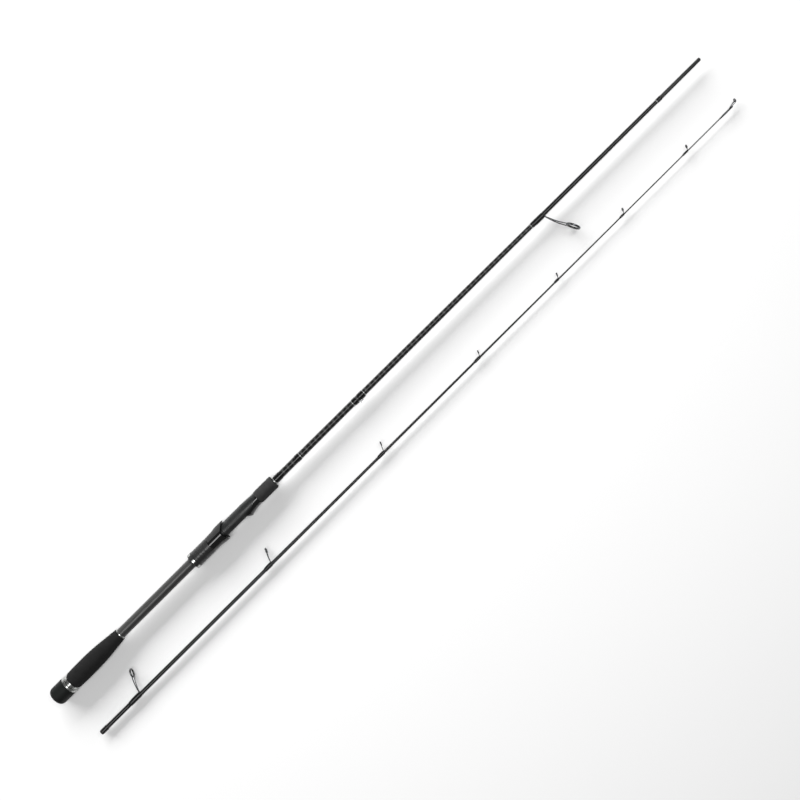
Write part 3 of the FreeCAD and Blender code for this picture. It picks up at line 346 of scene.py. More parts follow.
def drawn_out(name: str, section: Section, stations: Sequence[Spot], steps: int = 40) -> Piece:
    """Extrude a disc along X through stations, for a round bar whose middle may wander.

    Args:
        name: name of the new piece.
        section: gives the axis.
        stations: (x, radius, shift of the middle towards the guides).
        steps: sides of the round.

    Returns:
        The closed bar.
    """
    first, radius, shift = stations[0]
    bpy.ops.mesh.primitive_circle_add(vertices=steps, radius=radius * MM, fill_type="NGON",
                                      location=section.spot(first, shift),
                                      rotation=(0.0, math.radians(90), 0.0))
    piece = started(name)
    with editing(piece):
        bpy.ops.mesh.select_all(action="SELECT")
        for (x0, r0, s0), (x1, r1, s1) in zip(stations, stations[1:]):
            step = Vector(section.spot(x1, s1)) - Vector(section.spot(x0, s0))
            bpy.ops.mesh.extrude_region_move(TRANSFORM_OT_translate={"value": step})
            bpy.ops.transform.resize(value=(1.0, r1 / r0, r1 / r0),
                                     center_override=section.spot(x1, s1))
        bpy.ops.mesh.select_all(action="SELECT")
        bpy.ops.mesh.normals_make_consistent(inside=False)
    return piece


def slab(name: str, section: Section, corners: Sequence[Point], thickness: float) -> Piece:
    """Make a flat-sided block.

    Args:
        name: name of the new piece.
        section: gives the axis.
        corners: (x, distance from the axis towards the guides) of its outline.
        thickness: along Z, half of it each side of the axis.

    Returns:
        The closed block.
    """
    line = [section.spot(x, across, -thickness / 2) for x, across in corners]
    piece = chain(name, line + line[:1])
    with editing(piece):
        bpy.ops.mesh.select_all(action="SELECT")
        bpy.ops.mesh.remove_doubles(threshold=MM * WELD)
        bpy.ops.mesh.edge_face_add()
        bpy.ops.mesh.extrude_region_move(
            TRANSFORM_OT_translate={"value": (0.0, 0.0, thickness * MM)})
        bpy.ops.mesh.select_all(action="SELECT")
        bpy.ops.mesh.normals_make_consistent(inside=False)
    return piece


def box_between(name: str, section: Section, low: Spot, high: Spot) -> Piece:
    """Make a box between two corners, each (x, towards the guides, up from the axis).

    Args:
        name: name of the new piece.
        section: gives the axis.
        low: one corner.
        high: the opposite corner.

    Returns:
        The box.
    """
    corner, other = Vector(section.spot(*low)), Vector(section.spot(*high))
    size = other - corner
    bpy.ops.mesh.primitive_cube_add(size=1.0, location=(corner + other) / 2,
                                    scale=[abs(side) for side in size])
    return started(name)


def wire(name: str, spots: Sequence[Spot], radii: Sequence[float], order: int = 4) -> Piece:
    """Bend a round wire along a smooth path.

    Args:
        name: name of the new piece.
        spots: control points of the path, in metres.
        radii: the wire's radius at each of them.
        order: order of the path's curve.

    Returns:
        The wire as a closed mesh.
    """
    bpy.ops.curve.primitive_nurbs_path_add(location=(0.0, 0.0, 0.0))
    piece = bpy.context.object
    piece.name = name
    path = piece.data.splines[0]
    path.points.add(max(len(spots) - len(path.points), 0))
    while len(path.points) > len(spots):
        bpy.ops.object.mode_set(mode="EDIT")
        bpy.ops.curve.select_all(action="DESELECT")
        piece.data.splines[0].points[-1].select = True
        bpy.ops.curve.delete(type="VERT")
        bpy.ops.object.mode_set(mode="OBJECT")
        path = piece.data.splines[0]
    for point, spot, radius in zip(path.points, spots, radii):
        point.co = (*spot, 1.0)
        point.radius = radius
    path.order_u = min(order, len(spots))
    path.use_endpoint_u = True
    path.resolution_u = 8
    piece.data.bevel_depth = MM
    piece.data.bevel_resolution = 3
    piece.data.use_fill_caps = True
    bpy.ops.object.convert(target="MESH")
    piece = bpy.context.object
    piece.data.name = name
    with editing(piece):
        bpy.ops.mesh.select_all(action="SELECT")
        bpy.ops.mesh.remove_doubles(threshold=MM * WELD)
        bpy.ops.mesh.normals_make_consistent(inside=False)
    return piece


def turned_copy(piece: Piece, section: Section, angle: float) -> Piece:
    """Copy a piece with its own mesh, turned by `angle` degrees about the section's axis.

    Args:
        piece: the piece to copy.
        section: gives the axis.
        angle: in degrees.

    Returns:
        The copy.
    """
    choose_only(piece)
    bpy.ops.object.duplicate(linked=False)
    copy = bpy.context.object
    with editing(copy):
        bpy.ops.mesh.select_all(action="SELECT")
        bpy.ops.transform.rotate(value=-math.radians(angle), orient_axis="X",
                                 center_override=section.spot(0.0))
    return copy


def leaned(piece: Piece, spot: Spot, angle: float) -> Piece:
    """Turn a piece made about the origin by `angle` degrees about Z, and put it at its spot.

    Args:
        piece: a piece made about the origin.
        spot: its new middle, in metres.
        angle: in degrees.

    Returns:
        The same piece.
    """
    choose_only(piece)
    piece.matrix_world = Matrix.Translation(spot) @ Matrix.Rotation(math.radians(angle), 4, "Z")
    bpy.ops.object.transform_apply(location=True, rotation=True, scale=True)
    return piece


def arc(centre: Point, radius: float, start: float, end: float, steps: int) -> list[Point]:
    """Return points on a circle from `start` to `end` degrees, 0 along X and 90 outwards."""
    angles = [math.radians(start + (end - start) * number / steps) for number in range(steps + 1)]
    return [(centre[0] + radius * math.cos(a), centre[1] + radius * math.sin(a)) for a in angles]


def smooth(share: float) -> float:
    """Return the share eased in and out, from 0 to 1."""
    share = min(max(share, 0.0), 1.0)
    return share * share * (3 - 2 * share)


def pillow(start: float, end: float, inner: float, outer: float, crown: float) -> list[Point]:
    """Outline of a ring with a crowned outside: `crown` is how far its edges fall.

    Args:
        start: where it starts along X.
        end: where it ends.
        inner: radius of its bore.
        outer: radius of its crown.
        crown: how far its edges fall below the crown.

    Returns:
        The corners of its half section.
    """
    steps = 8
    top = []
    for number in range(steps + 1):
        share = number / steps
        top.append((start + (end - start) * share, outer - crown * (2 * share - 1) ** 4))
    return [(start, inner), *top, (end, inner)]


# ------------------------------------------------------------------ finishes
def linear(colour: str) -> tuple[float, float, float, float]:
    """Turn an sRGB hex colour into the linear one that shaders take.

    Args:
        colour: as "#rrggbb".

    Returns:
        Red, green, blue and alpha, from 0 to 1.
    """
    channels = []
    for place in (1, 3, 5):
        value = int(colour[place:place + 2], 16) / 255
        channels.append(value / 12.92 if value <= 0.04045 else ((value + 0.055) / 1.055) ** 2.4)
    return (*channels, 1.0)


def per_metre(millimetres: float) -> float:
    """Return how many steps of this size a metre holds."""
    return 1 / (millimetres * MM)


def add_node(tree: bpy.types.NodeTree, kind: str, inputs: dict[Any, Any] | None = None,
             out: Any = 0, **settings: Any) -> Socket:
    """Add a shader node with its settings, values and links.

    Args:
        tree: the material's node tree.
        kind: the node's type.
        inputs: a value, or the socket that feeds it, for each input by name or number.
        out: name or number of the output that is returned.
        settings: the node's own settings.

    Returns:
        One output socket of the node.
    """
    node = tree.nodes.new(kind)
    for key, value in settings.items():
        setattr(node, key, value)
    for key, value in (inputs or {}).items():
        if isinstance(value, bpy.types.NodeSocket):
            tree.links.new(value, node.inputs[key])
        else:
            node.inputs[key].default_value = value
    return node.outputs[out]


@dataclass(frozen=True)
class Surface:
    """What a pattern gives the shader: how the two colours mix, the relief and the polish."""

    mix: Socket
    relief: Socket
    polish: Socket | None = None


@dataclass(frozen=True)
class Finish:
    """A material: two sRGB hex colours, how it shines, and the depth of its relief in mm."""

    name: str
    colour: str
    shade: str
    roughness: float
    rough_range: float = 0.0
    metallic: float = 0.0
    ior: float = 1.5
    coat: float = 0.0
    coat_roughness: float = 0.04
    specular: float = 0.5
    depth: float = 0.02
    grain: float = 1.0

    def surface(self, tree: bpy.types.NodeTree, where: Socket) -> Surface:
        """Return the plain pattern: a grain of two sizes.

        Args:
            tree: the material's node tree.
            where: coordinates with the section's axis on the X axis.

        Returns:
            The pattern's sockets.
        """
        fine = add_node(tree, "ShaderNodeTexNoise", {
            "Vector": where, "Scale": per_metre(self.grain), "Detail": 3.0, "Roughness": 0.6})
        broad = add_node(tree, "ShaderNodeTexNoise", {
            "Vector": where, "Scale": per_metre(self.grain * 9), "Detail": 2.0})
        return Surface(broad, fine, broad)

    def made_for(self, section: Section) -> bpy.types.Material:
        """Build the material for one section, or find it if it is there already.

        Args:
            section: the section whose axis the pattern follows.

        Returns:
            The material.
        """
        label = f"{self.name}_{section.body}"
        found = bpy.data.materials.get(label)
        if found is not None:
            return found
        material = bpy.data.materials.new(label)
        material.use_nodes = True
        tree = material.node_tree
        shader = tree.nodes["Principled BSDF"]
        place = add_node(tree, "ShaderNodeTexCoord", out="Object")
        where = add_node(tree, "ShaderNodeMapping", {
            "Vector": place, "Location": (0.0, -section.axis_y * MM, -section.axis_z * MM)})
        surface = self.surface(tree, where)
        colour = add_node(tree, "ShaderNodeMix", {
            0: surface.mix, 6: linear(self.colour), 7: linear(self.shade)},
            out=2, data_type="RGBA")
        normal = add_node(tree, "ShaderNodeBump", {
            "Height": surface.relief, "Distance": self.depth * MM, "Strength": 1.0})
        tree.links.new(colour, shader.inputs["Base Color"])
        tree.links.new(normal, shader.inputs["Normal"])
        if surface.polish is not None and self.rough_range > 0:
            roughness = add_node(tree, "ShaderNodeMapRange", {
                "Value": surface.polish, "From Min": 0.3, "From Max": 0.7,
                "To Min": self.roughness - self.rough_range,
                "To Max": self.roughness + self.rough_range})
            tree.links.new(roughness, shader.inputs["Roughness"])
        else:
            shader.inputs["Roughness"].default_value = self.roughness
        shader.inputs["Metallic"].default_value = self.metallic
        shader.inputs["IOR"].default_value = self.ior
        shader.inputs["Coat Weight"].default_value = self.coat
        shader.inputs["Coat Roughness"].default_value = self.coat_roughness
        shader.inputs["Specular IOR Level"].default_value = self.specular
        return material


@dataclass(frozen=True)
class Ribbed(Finish):
    """A finish with fine lines round the axis, as a lathe, a winding or a thread leaves them."""

    pitch: float = 1.0
    waver: float = 0.3
    streak: float = 12.0

    def surface(self, tree: bpy.types.NodeTree, where: Socket) -> Surface:
        """Return lines round the axis at `pitch`, a little uneven, over long faint streaks.

        Args:
            tree: the material's node tree.
            where: coordinates with the section's axis on the X axis.

        Returns:
            The pattern's sockets.
        """
        along = add_node(tree, "ShaderNodeSeparateXYZ", {"Vector": where}, out="X")
        drift = add_node(tree, "ShaderNodeTexNoise", {
            "Vector": where, "Scale": per_metre(self.pitch * 5), "Detail": 1.0})
        shift = add_node(tree, "ShaderNodeMath", {
            0: drift, 1: self.waver * self.pitch * MM}, operation="MULTIPLY")
        place = add_node(tree, "ShaderNodeMath", {0: along, 1: shift}, operation="ADD")
        phase = add_node(tree, "ShaderNodeMath", {
            0: place, 1: math.tau * per_metre(self.pitch)}, operation="MULTIPLY")
        wave = add_node(tree, "ShaderNodeMath", {0: phase}, operation="SINE")
        line = add_node(tree, "ShaderNodeMapRange", {
            "Value": wave, "From Min": -1.0, "From Max": 1.0})
        stretched = add_node(tree, "ShaderNodeMapping", {
            "Vector": where, "Scale": (1 / self.streak, 1.0, 1.0)})
        streaks = add_node(tree, "ShaderNodeTexNoise", {
            "Vector": stretched, "Scale": per_metre(self.grain), "Detail": 2.0})
        mixed = add_node(tree, "ShaderNodeMix", {0: 0.5, 2: line, 3: streaks}, data_type="FLOAT")
        return Surface(mixed, line, streaks)


@dataclass(frozen=True)
class CrossTaped(Finish):
    """Carbon tape wound both ways round a blank, with dark diamonds left between the tapes."""

    pitch: float = 9.5
    cover: float = 0.32
    edge: float = 0.06
    tape_share: float = 0.85

    def surface(self, tree: bpy.types.NodeTree, where: Socket) -> Surface:
        """Return the two tapes, whose crossings stand highest, over a fine fibre grain.

        Args:
            tree: the material's node tree.
            where: coordinates with the section's axis on the X axis.

        Returns:
            The pattern's sockets.
        """
        split = {axis: add_node(tree, "ShaderNodeSeparateXYZ", {"Vector": where}, out=axis)
                 for axis in "XYZ"}
        angle = add_node(tree, "ShaderNodeMath", {0: split["Y"], 1: split["Z"]},
                         operation="ARCTAN2")
        turn = add_node(tree, "ShaderNodeMath", {0: angle, 1: 1 / math.tau},
                        operation="MULTIPLY")
        along = add_node(tree, "ShaderNodeMath", {0: split["X"], 1: per_metre(self.pitch)},
                         operation="MULTIPLY")
        tapes = []
        for hand in ("ADD", "SUBTRACT"):
            phase = add_node(tree, "ShaderNodeMath", {0: along, 1: turn}, operation=hand)
            part = add_node(tree, "ShaderNodeMath", {0: phase}, operation="FRACT")
            middle = add_node(tree, "ShaderNodeMath", {0: part, 1: 0.5}, operation="SUBTRACT")
            away = add_node(tree, "ShaderNodeMath", {0: middle}, operation="ABSOLUTE")
            tapes.append(add_node(tree, "ShaderNodeMapRange", {
                "Value": away, "From Min": self.cover / 2 + self.edge,
                "From Max": self.cover / 2 - self.edge}, interpolation_type="SMOOTHSTEP"))
        layers = add_node(tree, "ShaderNodeMath", {0: tapes[0], 1: tapes[1]}, operation="ADD")
        fibres = add_node(tree, "ShaderNodeTexNoise", {
            "Vector": where, "Scale": per_metre(self.grain), "Detail": 2.0})
        spread = add_node(tree, "ShaderNodeMapRange", {
            "Value": layers, "From Max": 2.0, "To Max": self.tape_share})
        faint = add_node(tree, "ShaderNodeMath", {0: fibres, 1: 1 - self.tape_share},
                         operation="MULTIPLY")
        mix = add_node(tree, "ShaderNodeMath", {0: spread, 1: faint}, operation="ADD")
        return Surface(mix, layers)


# Moulded rubber: dull, nearly black, with the fine grain of its mould.
CAP_RUBBER = Finish("moulded_rubber", "#101211", "#1a1c1b", 0.55, 0.08, specular=0.15, depth=0.05,
                    grain=0.9)
# Turned and clear-anodised aluminium: bright, with lathe lines (0.2 mm, drawn at 0.7 mm to show).
BRIGHT_ALUMINIUM = Ribbed("turned_aluminium", "#d9dad8", "#a9aba9", 0.26, 0.06, metallic=1.0,
                          depth=0.02, grain=1.5, pitch=0.7, waver=0.1)
# Closed-cell EVA foam, ground to shape: matt, with cells of 0.3 mm drawn at 1.1 mm to show.
GRIP_FOAM = Finish("ground_eva_foam", "#121212", "#242424", 0.82, 0.06, specular=0.15, depth=0.22,
                   grain=1.1)
# The same foam in a harder grade: greyer, and a little less matt.
FOREGRIP_FOAM = Finish("hard_eva_foam", "#222222", "#363636", 0.76, 0.06, specular=0.2,
                       depth=0.16, grain=1.0)
# Filament-wound carbon tube, left matt: lines round it where the tape's edges lie.
HANDLE_CARBON = Ribbed("matt_wound_carbon", "#202020", "#444443", 0.31, 0.07, depth=0.06,
                       grain=0.8, pitch=1.9, waver=0.5, streak=20.0)
# Blank with crossed carbon tape under clear lacquer: dark diamonds between grey tapes, glossy.
BLANK_TAPED = CrossTaped("cross_taped_carbon", "#060606", "#3a3a3a", 0.34, coat=0.8,
                         coat_roughness=0.06, specular=0.1, depth=0.04, grain=0.8)
# Blank of lengthwise carbon under clear gloss lacquer: black, with one sharp highlight.
BLANK_PLAIN = Ribbed("lacquered_carbon", "#050505", "#101010", 0.26, 0.04, coat=1.0,
                     coat_roughness=0.05, specular=0.1, depth=0.006, grain=0.7, pitch=1.4,
                     streak=30.0)
# Spigot: carbon ground to fit, without lacquer: greyer and duller than the blank.
SPIGOT_GROUND = Ribbed("ground_carbon", "#1c1c1c", "#2c2c2c", 0.42, 0.05, depth=0.01,
                       grain=0.6, pitch=0.9)
# Carbon-filled nylon, moulded with a satin skin: dark grey with broad, soft highlights.
SEAT_NYLON = Finish("satin_filled_nylon", "#191a1a", "#262727", 0.36, 0.06, depth=0.03,
                    grain=0.7)
# The hoods' black lacquer: deep and mirror-like, with narrow highlights.
HOOD_LACQUER = Finish("gloss_black_lacquer", "#050505", "#0c0c0c", 0.20, 0.03, coat=1.0,
                      coat_roughness=0.05, specular=0.2, depth=0.006, grain=3.0)
# Palm side of the sliding hood: a lighter, matt grey with fine ribs (0.5 mm, drawn at 1.3 mm to show);
# the lighter grey is painted light, standing in for the light that falls on the palm side.
PALM_PAINTED_LIGHT = Ribbed("palm_painted_light", "#202020", "#363636", 0.50, 0.05, specular=0.35,
                    depth=0.08, grain=0.9, pitch=1.3, waver=0.1)
# The nut's moulded nylon, semi-gloss: faint lines round it in the highlights.
NUT_NYLON = Ribbed("semi_gloss_nylon", "#1d1d1d", "#2d2d2d", 0.30, 0.05, depth=0.02, grain=0.9,
                   pitch=1.3, waver=0.1)
# Nylon thread under epoxy: black and wet-looking, threads of 0.2 mm drawn at 0.6 mm to show.
THREAD_EPOXY = Ribbed("epoxy_over_black_thread", "#030303", "#080808", 0.30, coat=1.0,
                      coat_roughness=0.04, specular=0.1, depth=0.012, grain=1.0, pitch=0.6,
                      waver=0.05)
# Metallic thread under the same epoxy: pale, with fine lines round it.
SILVER_THREAD = Ribbed("silver_thread", "#b9bbba", "#868887", 0.32, metallic=0.8, coat=1.0,
                       coat_roughness=0.04, depth=0.03, grain=1.0, pitch=0.4, waver=0.05)
# Stainless wire with a dark chrome coat: a smoky mirror.
DARK_CHROME = Finish("dark_chrome_steel", "#6a6c6e", "#55575a", 0.20, 0.04, metallic=1.0,
                     depth=0.004, grain=2.0)
# Polished stainless steel of the hook keeper: a clear, bright mirror.
KEEPER_STEEL = Finish("polished_stainless", "#c9cacb", "#aeb0b1", 0.18, 0.03, metallic=1.0,
                      depth=0.004, grain=2.0)
# Black alumina ceramic, polished where the line runs.
RING_CERAMIC = Finish("polished_alumina", "#0e0f11", "#17181a", 0.12, 0.03, ior=1.76,
                      depth=0.002, grain=1.5)
# Elastomer pads in the hood pockets: dull and nearly black.
HOOD_PAD = Finish("soft_elastomer", "#1b1b1b", "#242424", 0.70, 0.05, depth=0.02, grain=0.5)
# Glass-filled nylon bushes inside the handle: matt dark grey.
BUSH_NYLON = Finish("glass_filled_nylon", "#3c3c3a", "#4a4a48", 0.55, 0.05, depth=0.02,
                    grain=0.6)


def dress(piece: Piece, section: Section, finish: Finish, nodes: Sequence[str] = (),
          body: str = "", angle: float = 32.0) -> Piece:
    """Shade a piece, give it its finish, and hang it on its CAD body.

    Args:
        piece: the finished mesh.
        section: the section it belongs to.
        finish: its material.
        nodes: the CAD nodes that it stands for.
        body: its CAD body, if that isn't the section's own.
        angle: edges sharper than this stay sharp.

    Returns:
        The piece.
    """
    choose_only(piece)
    bpy.ops.object.shade_smooth_by_angle(angle=math.radians(angle))
    piece.data.materials.clear()
    piece.data.materials.append(finish.made_for(section))
    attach(piece, body or section.body)
    if nodes:
        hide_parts(*nodes)
    LOG.info("%-22s %6d faces on %s", piece.name, len(piece.data.polygons),
             body or section.body)
    return piece


# ------------------------------------------------------------------ butt end
@dataclass
class ButtEnd:
    """Rubber cap, bright ring, rear grip and the bright ring ahead of it."""

    cap_round: float = 6.5
    dish_radius: float = 5.0
    dish_depth: float = 0.5
    dish_slope: float = 0.6
    parting: float = 3.0
    parting_depth: float = 0.35
    parting_mouth: float = 0.6
    parting_floor: float = 0.3
    chamfer: float = 0.5
    cup_gap: float = 0.1
    collar_crown: float = 0.45
    ring_edge: float = 0.22
    bore: float = 7.8

    def build_cap(self) -> Piece:
        """Turn the cap: a dished end, a big round, and a moulded groove near its front.

        Returns:
            The cap.
        """
        start, end = reach("butt_cap")
        radius = radius_of("butt_cap")
        flat = radius - self.cap_round
        groove = end - self.parting
        floor = radius - self.parting_depth
        cup = self.bore + self.cup_gap
        outline = [(start + self.dish_depth, 0.0), (start + self.dish_depth, self.dish_radius),
                   (start, self.dish_radius + self.dish_slope), (start, flat)]
        outline += arc((start + self.cap_round, flat), self.cap_round, 180, 90, 12)[1:]
        outline += [(groove - self.parting_mouth, radius), (groove - self.parting_floor, floor),
                    (groove + self.parting_floor, floor), (groove + self.parting_mouth, radius),
                    (end - self.chamfer, radius), (end, radius - self.chamfer), (end, cup),
                    (start + self.cap_round, cup), (start + self.cap_round, 0.0)]
        return turned("rubber_cap", BUTT, outline)

    def build_ring(self) -> Piece:
        """Turn the grooved ring from its CAD outline, with its edges broken.

        Returns:
            The ring.
        """
        rim = rim_of("butt_ring", BUTT, self.bore + 1)
        outline = [(rim[0][0], self.bore), *rim, (rim[-1][0], self.bore)]
        return eased(turned("aluminium_ring", BUTT, outline, ROUND), self.ring_edge, 3)

    def build_grip(self) -> Piece:
        """Turn the foam grip from its CAD outline.

        Returns:
            The grip.
        """
        rim = rim_of("rear_grip", BUTT, self.bore + 1)
        outline = [(rim[0][0], self.bore), *rim, (rim[-1][0], self.bore)]
        return eased(turned("rear_foam", BUTT, outline, ROUND), 0.5, 2, 40)

    def build_collar(self) -> Piece:
        """Turn the narrow bright ring, crowned.

        Returns:
            The ring.
        """
        start, end = reach("rear_trim_ring")
        radius = radius_of("rear_trim_ring")
        return turned("rear_collar", BUTT, pillow(start, end, self.bore, radius,
                                                  self.collar_crown))

    def dress_all(self) -> None:
        """Build the four pieces and give them their finishes."""
        dress(self.build_cap(), BUTT, CAP_RUBBER, ["butt_cap"])
        dress(self.build_ring(), BUTT, BRIGHT_ALUMINIUM, ["butt_ring"])
        dress(self.build_grip(), BUTT, GRIP_FOAM, ["rear_grip"])
        dress(self.build_collar(), BUTT, BRIGHT_ALUMINIUM,
              ["rear_trim_ring"])


# ------------------------------------------------------------------ blanks and handle tube
@dataclass
class Blanks:
    """The two tapered blanks and the sleeve between the rear grip and the seat."""

    spigot_length: float = 80.0
    wall: float = 0.9
    hole_depth: float = 14.0
    tube_wall: float = 0.8
    plain_from: str = "guide_1_wrap"

    def bar(self, name: str, section: Section, taper: Taper, start: float, end: float) -> Piece:
        """Draw a stretch of a blank out between two places.

        Args:
            name: name of the new piece.
            section: the section it belongs to.
            taper: the blank's radius along X.
            start: where the stretch starts.
            end: where it ends.

        Returns:
            The closed bar.
        """
        inner = [x for x, _ in taper.stations if start < x < end]
        stations = [(x, taper.at(x), 0.0) for x in (start, *inner, end)]
        return drawn_out(name, section, stations, BAR_ROUND)

    def drilled(self, piece: Piece, x: float, inwards: float) -> Piece:
        """Open one end of a bar: inset its end face and push it `inwards` along X.

        Args:
            piece: the bar.
            x: where its end face is.
            inwards: how deep, and which way.

        Returns:
            The same bar.
        """
        with editing(piece):
            pick_faces(piece, lambda middle, normal: abs(middle.x - x) < 0.01)
            bpy.ops.mesh.inset(thickness=self.wall * MM)
            bpy.ops.mesh.extrude_region_move(
                TRANSFORM_OT_translate={"value": (inwards * MM, 0.0, 0.0)})
        return piece

    def dress_all(self) -> None:
        """Build the blanks in their stretches and give them their finishes."""
        start, end = reach("butt_blank")
        change = reach(self.plain_from)[0]
        spigot = end - self.spigot_length
        taped = self.bar("taped_blank", BUTT, BUTT_TAPER, start, change)
        plain = self.bar("plain_blank", BUTT, BUTT_TAPER, change, spigot)
        bare = self.bar("spigot", BUTT, BUTT_TAPER, spigot, end)
        self.drilled(bare, end, -self.hole_depth)
        dress(taped, BUTT, BLANK_TAPED, ["butt_blank"])
        dress(plain, BUTT, BLANK_PLAIN)
        dress(eased(bare, 0.2, 2, 50), BUTT, SPIGOT_GROUND)

        start, end = reach("tip_blank")
        tip = self.bar("tip_shaft", TIP, TIP_TAPER, start, end)
        self.drilled(tip, start, self.spigot_length)
        dress(tip, TIP, BLANK_PLAIN, ["tip_blank"])

        start, end = reach("handle_tube")
        radius = radius_of("handle_tube")
        bore = radius - self.tube_wall
        tube = turned("carbon_tube", BUTT, [
            (start, bore), (start, radius), (end, radius), (end, bore)], ROUND)
        dress(tube, BUTT, HANDLE_CARBON, ["handle_tube"])


# ------------------------------------------------------------------ reel seat
@dataclass
class ReelSeat:
    """Threaded barrel, satin body with its foot bed, and the gloss cover of the fixed hood."""

    barrel_radius: float = 9.3
    barrel_flat: float = 8.1
    thread_pitch: float = 2.0
    thread_depth: float = 0.55
    thread_share: float = 0.42
    thread_crest: float = 0.25
    thread_sunk: float = 0.2
    thread_start: float = 1.2
    thread_end: float = 3.0
    seat_radius: float = 10.7
    bed_height: float = 8.4
    bore: float = 6.8
    tube_bore: float = 7.8
    lip_radius: float = 13.8
    low_radius: float = 11.6
    nose_radius: float = 9.5
    pocket_width: float = 10.8
    pocket_mouth: float = 3.4
    pocket_end: float = 1.6
    bed_place: float = 66.0
    bed_length: float = 42.0
    lip_length: float = 6.0
    pocket_length: float = 9.0
    ramp: float = 1.2
    chamfer: float = 0.4
    tube_overlap: float = 20.0
    sweep_low: float = 5.8
    sweep_high: float = -3.4
    tool_width: float = 40.0

    def __post_init__(self) -> None:
        """Read the seat's places from the frame."""
        self.start, self.end = reach("seat_body")
        self.bed_start = self.start + self.bed_place
        self.mouth = self.bed_start + self.bed_length
        self.lip = self.mouth + self.lip_length
        self.pocket_stop = self.lip + self.pocket_length

    def flats(self) -> Piece:
        """Make the tool that cuts the flat under the foot.

        Returns:
            The tool.
        """
        far = self.lip_radius + OVER
        bed = self.bed_start + self.ramp
        corners = [(self.start - OVER, self.barrel_flat), (bed, self.barrel_flat),
                   (bed, self.bed_height), (self.mouth, self.bed_height),
                   (self.mouth, self.barrel_flat), (self.pocket_stop, self.barrel_flat),
                   (self.pocket_stop, far), (self.start - OVER, far)]
        return slab("flat_tool", BUTT, corners, self.tool_width)

    def build_body(self) -> Piece:
        """Turn the body, cut its flat, and cut the line along each of its sides.

        Returns:
            The body.
        """
        core = self.barrel_radius - self.thread_depth
        step = self.start + self.tube_overlap
        outline = [(self.start, self.tube_bore), (self.start, core - self.chamfer),
                   (self.start + self.chamfer, core), (self.bed_start - 2, core),
                   (self.bed_start - 2, self.barrel_radius), (self.bed_start, self.barrel_radius),
                   (self.bed_start + self.ramp, self.seat_radius), (self.mouth + 2, self.seat_radius)]
        steps = 10
        for number in range(1, steps + 1):
            share = number / steps
            x = self.mouth + 2 + (self.end - self.mouth - 2) * share
            fall = (self.seat_radius - self.nose_radius) * smooth(share)
            outline.append((x, self.seat_radius - fall))
        outline += [(self.end, self.bore), (step, self.bore), (step, self.tube_bore)]
        body = carved(turned("seat_shell", BUTT, outline, ROUND), self.flats())
        for up in (-1, 1):
            high = self.seat_radius * up
            line = box_between("line_tool", BUTT, (self.bed_start + 3.0, -0.5, high * 0.94),
                               (self.mouth - 6.0, 0.8, high * 1.1))
            carved(body, eased(line, 0.25, 2))
        return eased(body, 0.25, 2, 35)

    def build_thread(self) -> Piece:
        """Wind the barrel's thread as a ridge screwed along X, and cut it off at the flat.

        Returns:
            The ridge.
        """
        root = self.barrel_radius - self.thread_depth
        half = self.thread_pitch * self.thread_share
        first = self.start + self.thread_start
        sunk = root - self.thread_sunk
        crest = self.thread_crest
        ridge = [(first - half, sunk), (first - half, root),
                 (first - crest, self.barrel_radius), (first + crest, self.barrel_radius),
                 (first + half, root), (first + half, sunk)]
        piece = chain("seat_thread", [BUTT.spot(x, -r) for x, r in ridge + ridge[:1]])
        with editing(piece):
            bpy.ops.mesh.select_all(action="SELECT")
            bpy.ops.mesh.remove_doubles(threshold=MM * WELD)
            bpy.ops.mesh.edge_face_add()
        turns = int((self.bed_start - self.thread_end - first) / self.thread_pitch)
        steps = 40
        with editing(piece):
            bpy.ops.mesh.select_all(action="SELECT")
            for _ in range(turns * steps):
                bpy.ops.mesh.extrude_region_move(
                    TRANSFORM_OT_translate={"value": (self.thread_pitch / steps * MM, 0, 0)})
                bpy.ops.transform.rotate(value=math.tau / steps, orient_axis="X",
                                         center_override=BUTT.spot(0.0))
            bpy.ops.mesh.select_all(action="SELECT")
            bpy.ops.mesh.normals_make_consistent(inside=False)
        return carved(piece, self.flats())

    def sweep(self) -> list[Point]:
        """Return the hood cover's upper edge, an S that climbs from the bed to the palm side.

        Returns:
            Its points, as x and the distance from the axis towards the foot.
        """
        low, high = self.sweep_low, self.sweep_high
        steps = 14
        line = [(self.mouth + 1.2, low)]
        for number in range(steps + 1):
            share = number / steps
            line.append((self.lip + 2 + (self.end - self.lip - 2) * share,
                         low + (high - low) * smooth(share)))
        return line

    def build_hood(self) -> Piece:
        """Turn the fixed hood's cover, keep what lies below its sweep, and open its pocket.

        Returns:
            The cover.
        """
        outline = [(self.mouth, self.bore), (self.mouth, self.lip_radius - 0.4),
                   (self.lip - 0.8, self.lip_radius - 0.1), (self.lip, self.lip_radius)]
        steps = 10
        for number in range(1, steps + 1):
            share = number / steps
            x = self.lip + (self.end - self.lip) * share
            bulge = self.lip_radius - self.nose_radius - 0.45
            outline.append((x, self.nose_radius + 0.45 + bulge * (1 - share) ** 2.4))
        outline += [(self.end, self.bore)]
        hood = turned("hood_cover", BUTT, outline, ROUND)
        far = self.lip_radius + OVER
        keep = [(self.mouth, self.bed_height), *self.sweep(), (self.end + 2, self.sweep_high),
                (self.end + 2, far), (self.lip, far), (self.lip, self.lip_radius)]
        carved(hood, slab("sweep_tool", BUTT, keep, self.tool_width), "INTERSECT")
        roof, low_roof = self.bed_height + self.pocket_mouth, self.bed_height + self.pocket_end
        pocket = slab("pocket_tool", BUTT, [
            (self.mouth - 2, self.barrel_flat - 1.5), (self.pocket_stop, self.barrel_flat - 1.5),
            (self.pocket_stop, low_roof), (self.lip, roof), (self.mouth - 2, roof)],
            self.pocket_width)
        carved(hood, eased(pocket, 0.8, 3))
        return eased(hood, 0.35, 3, 35)

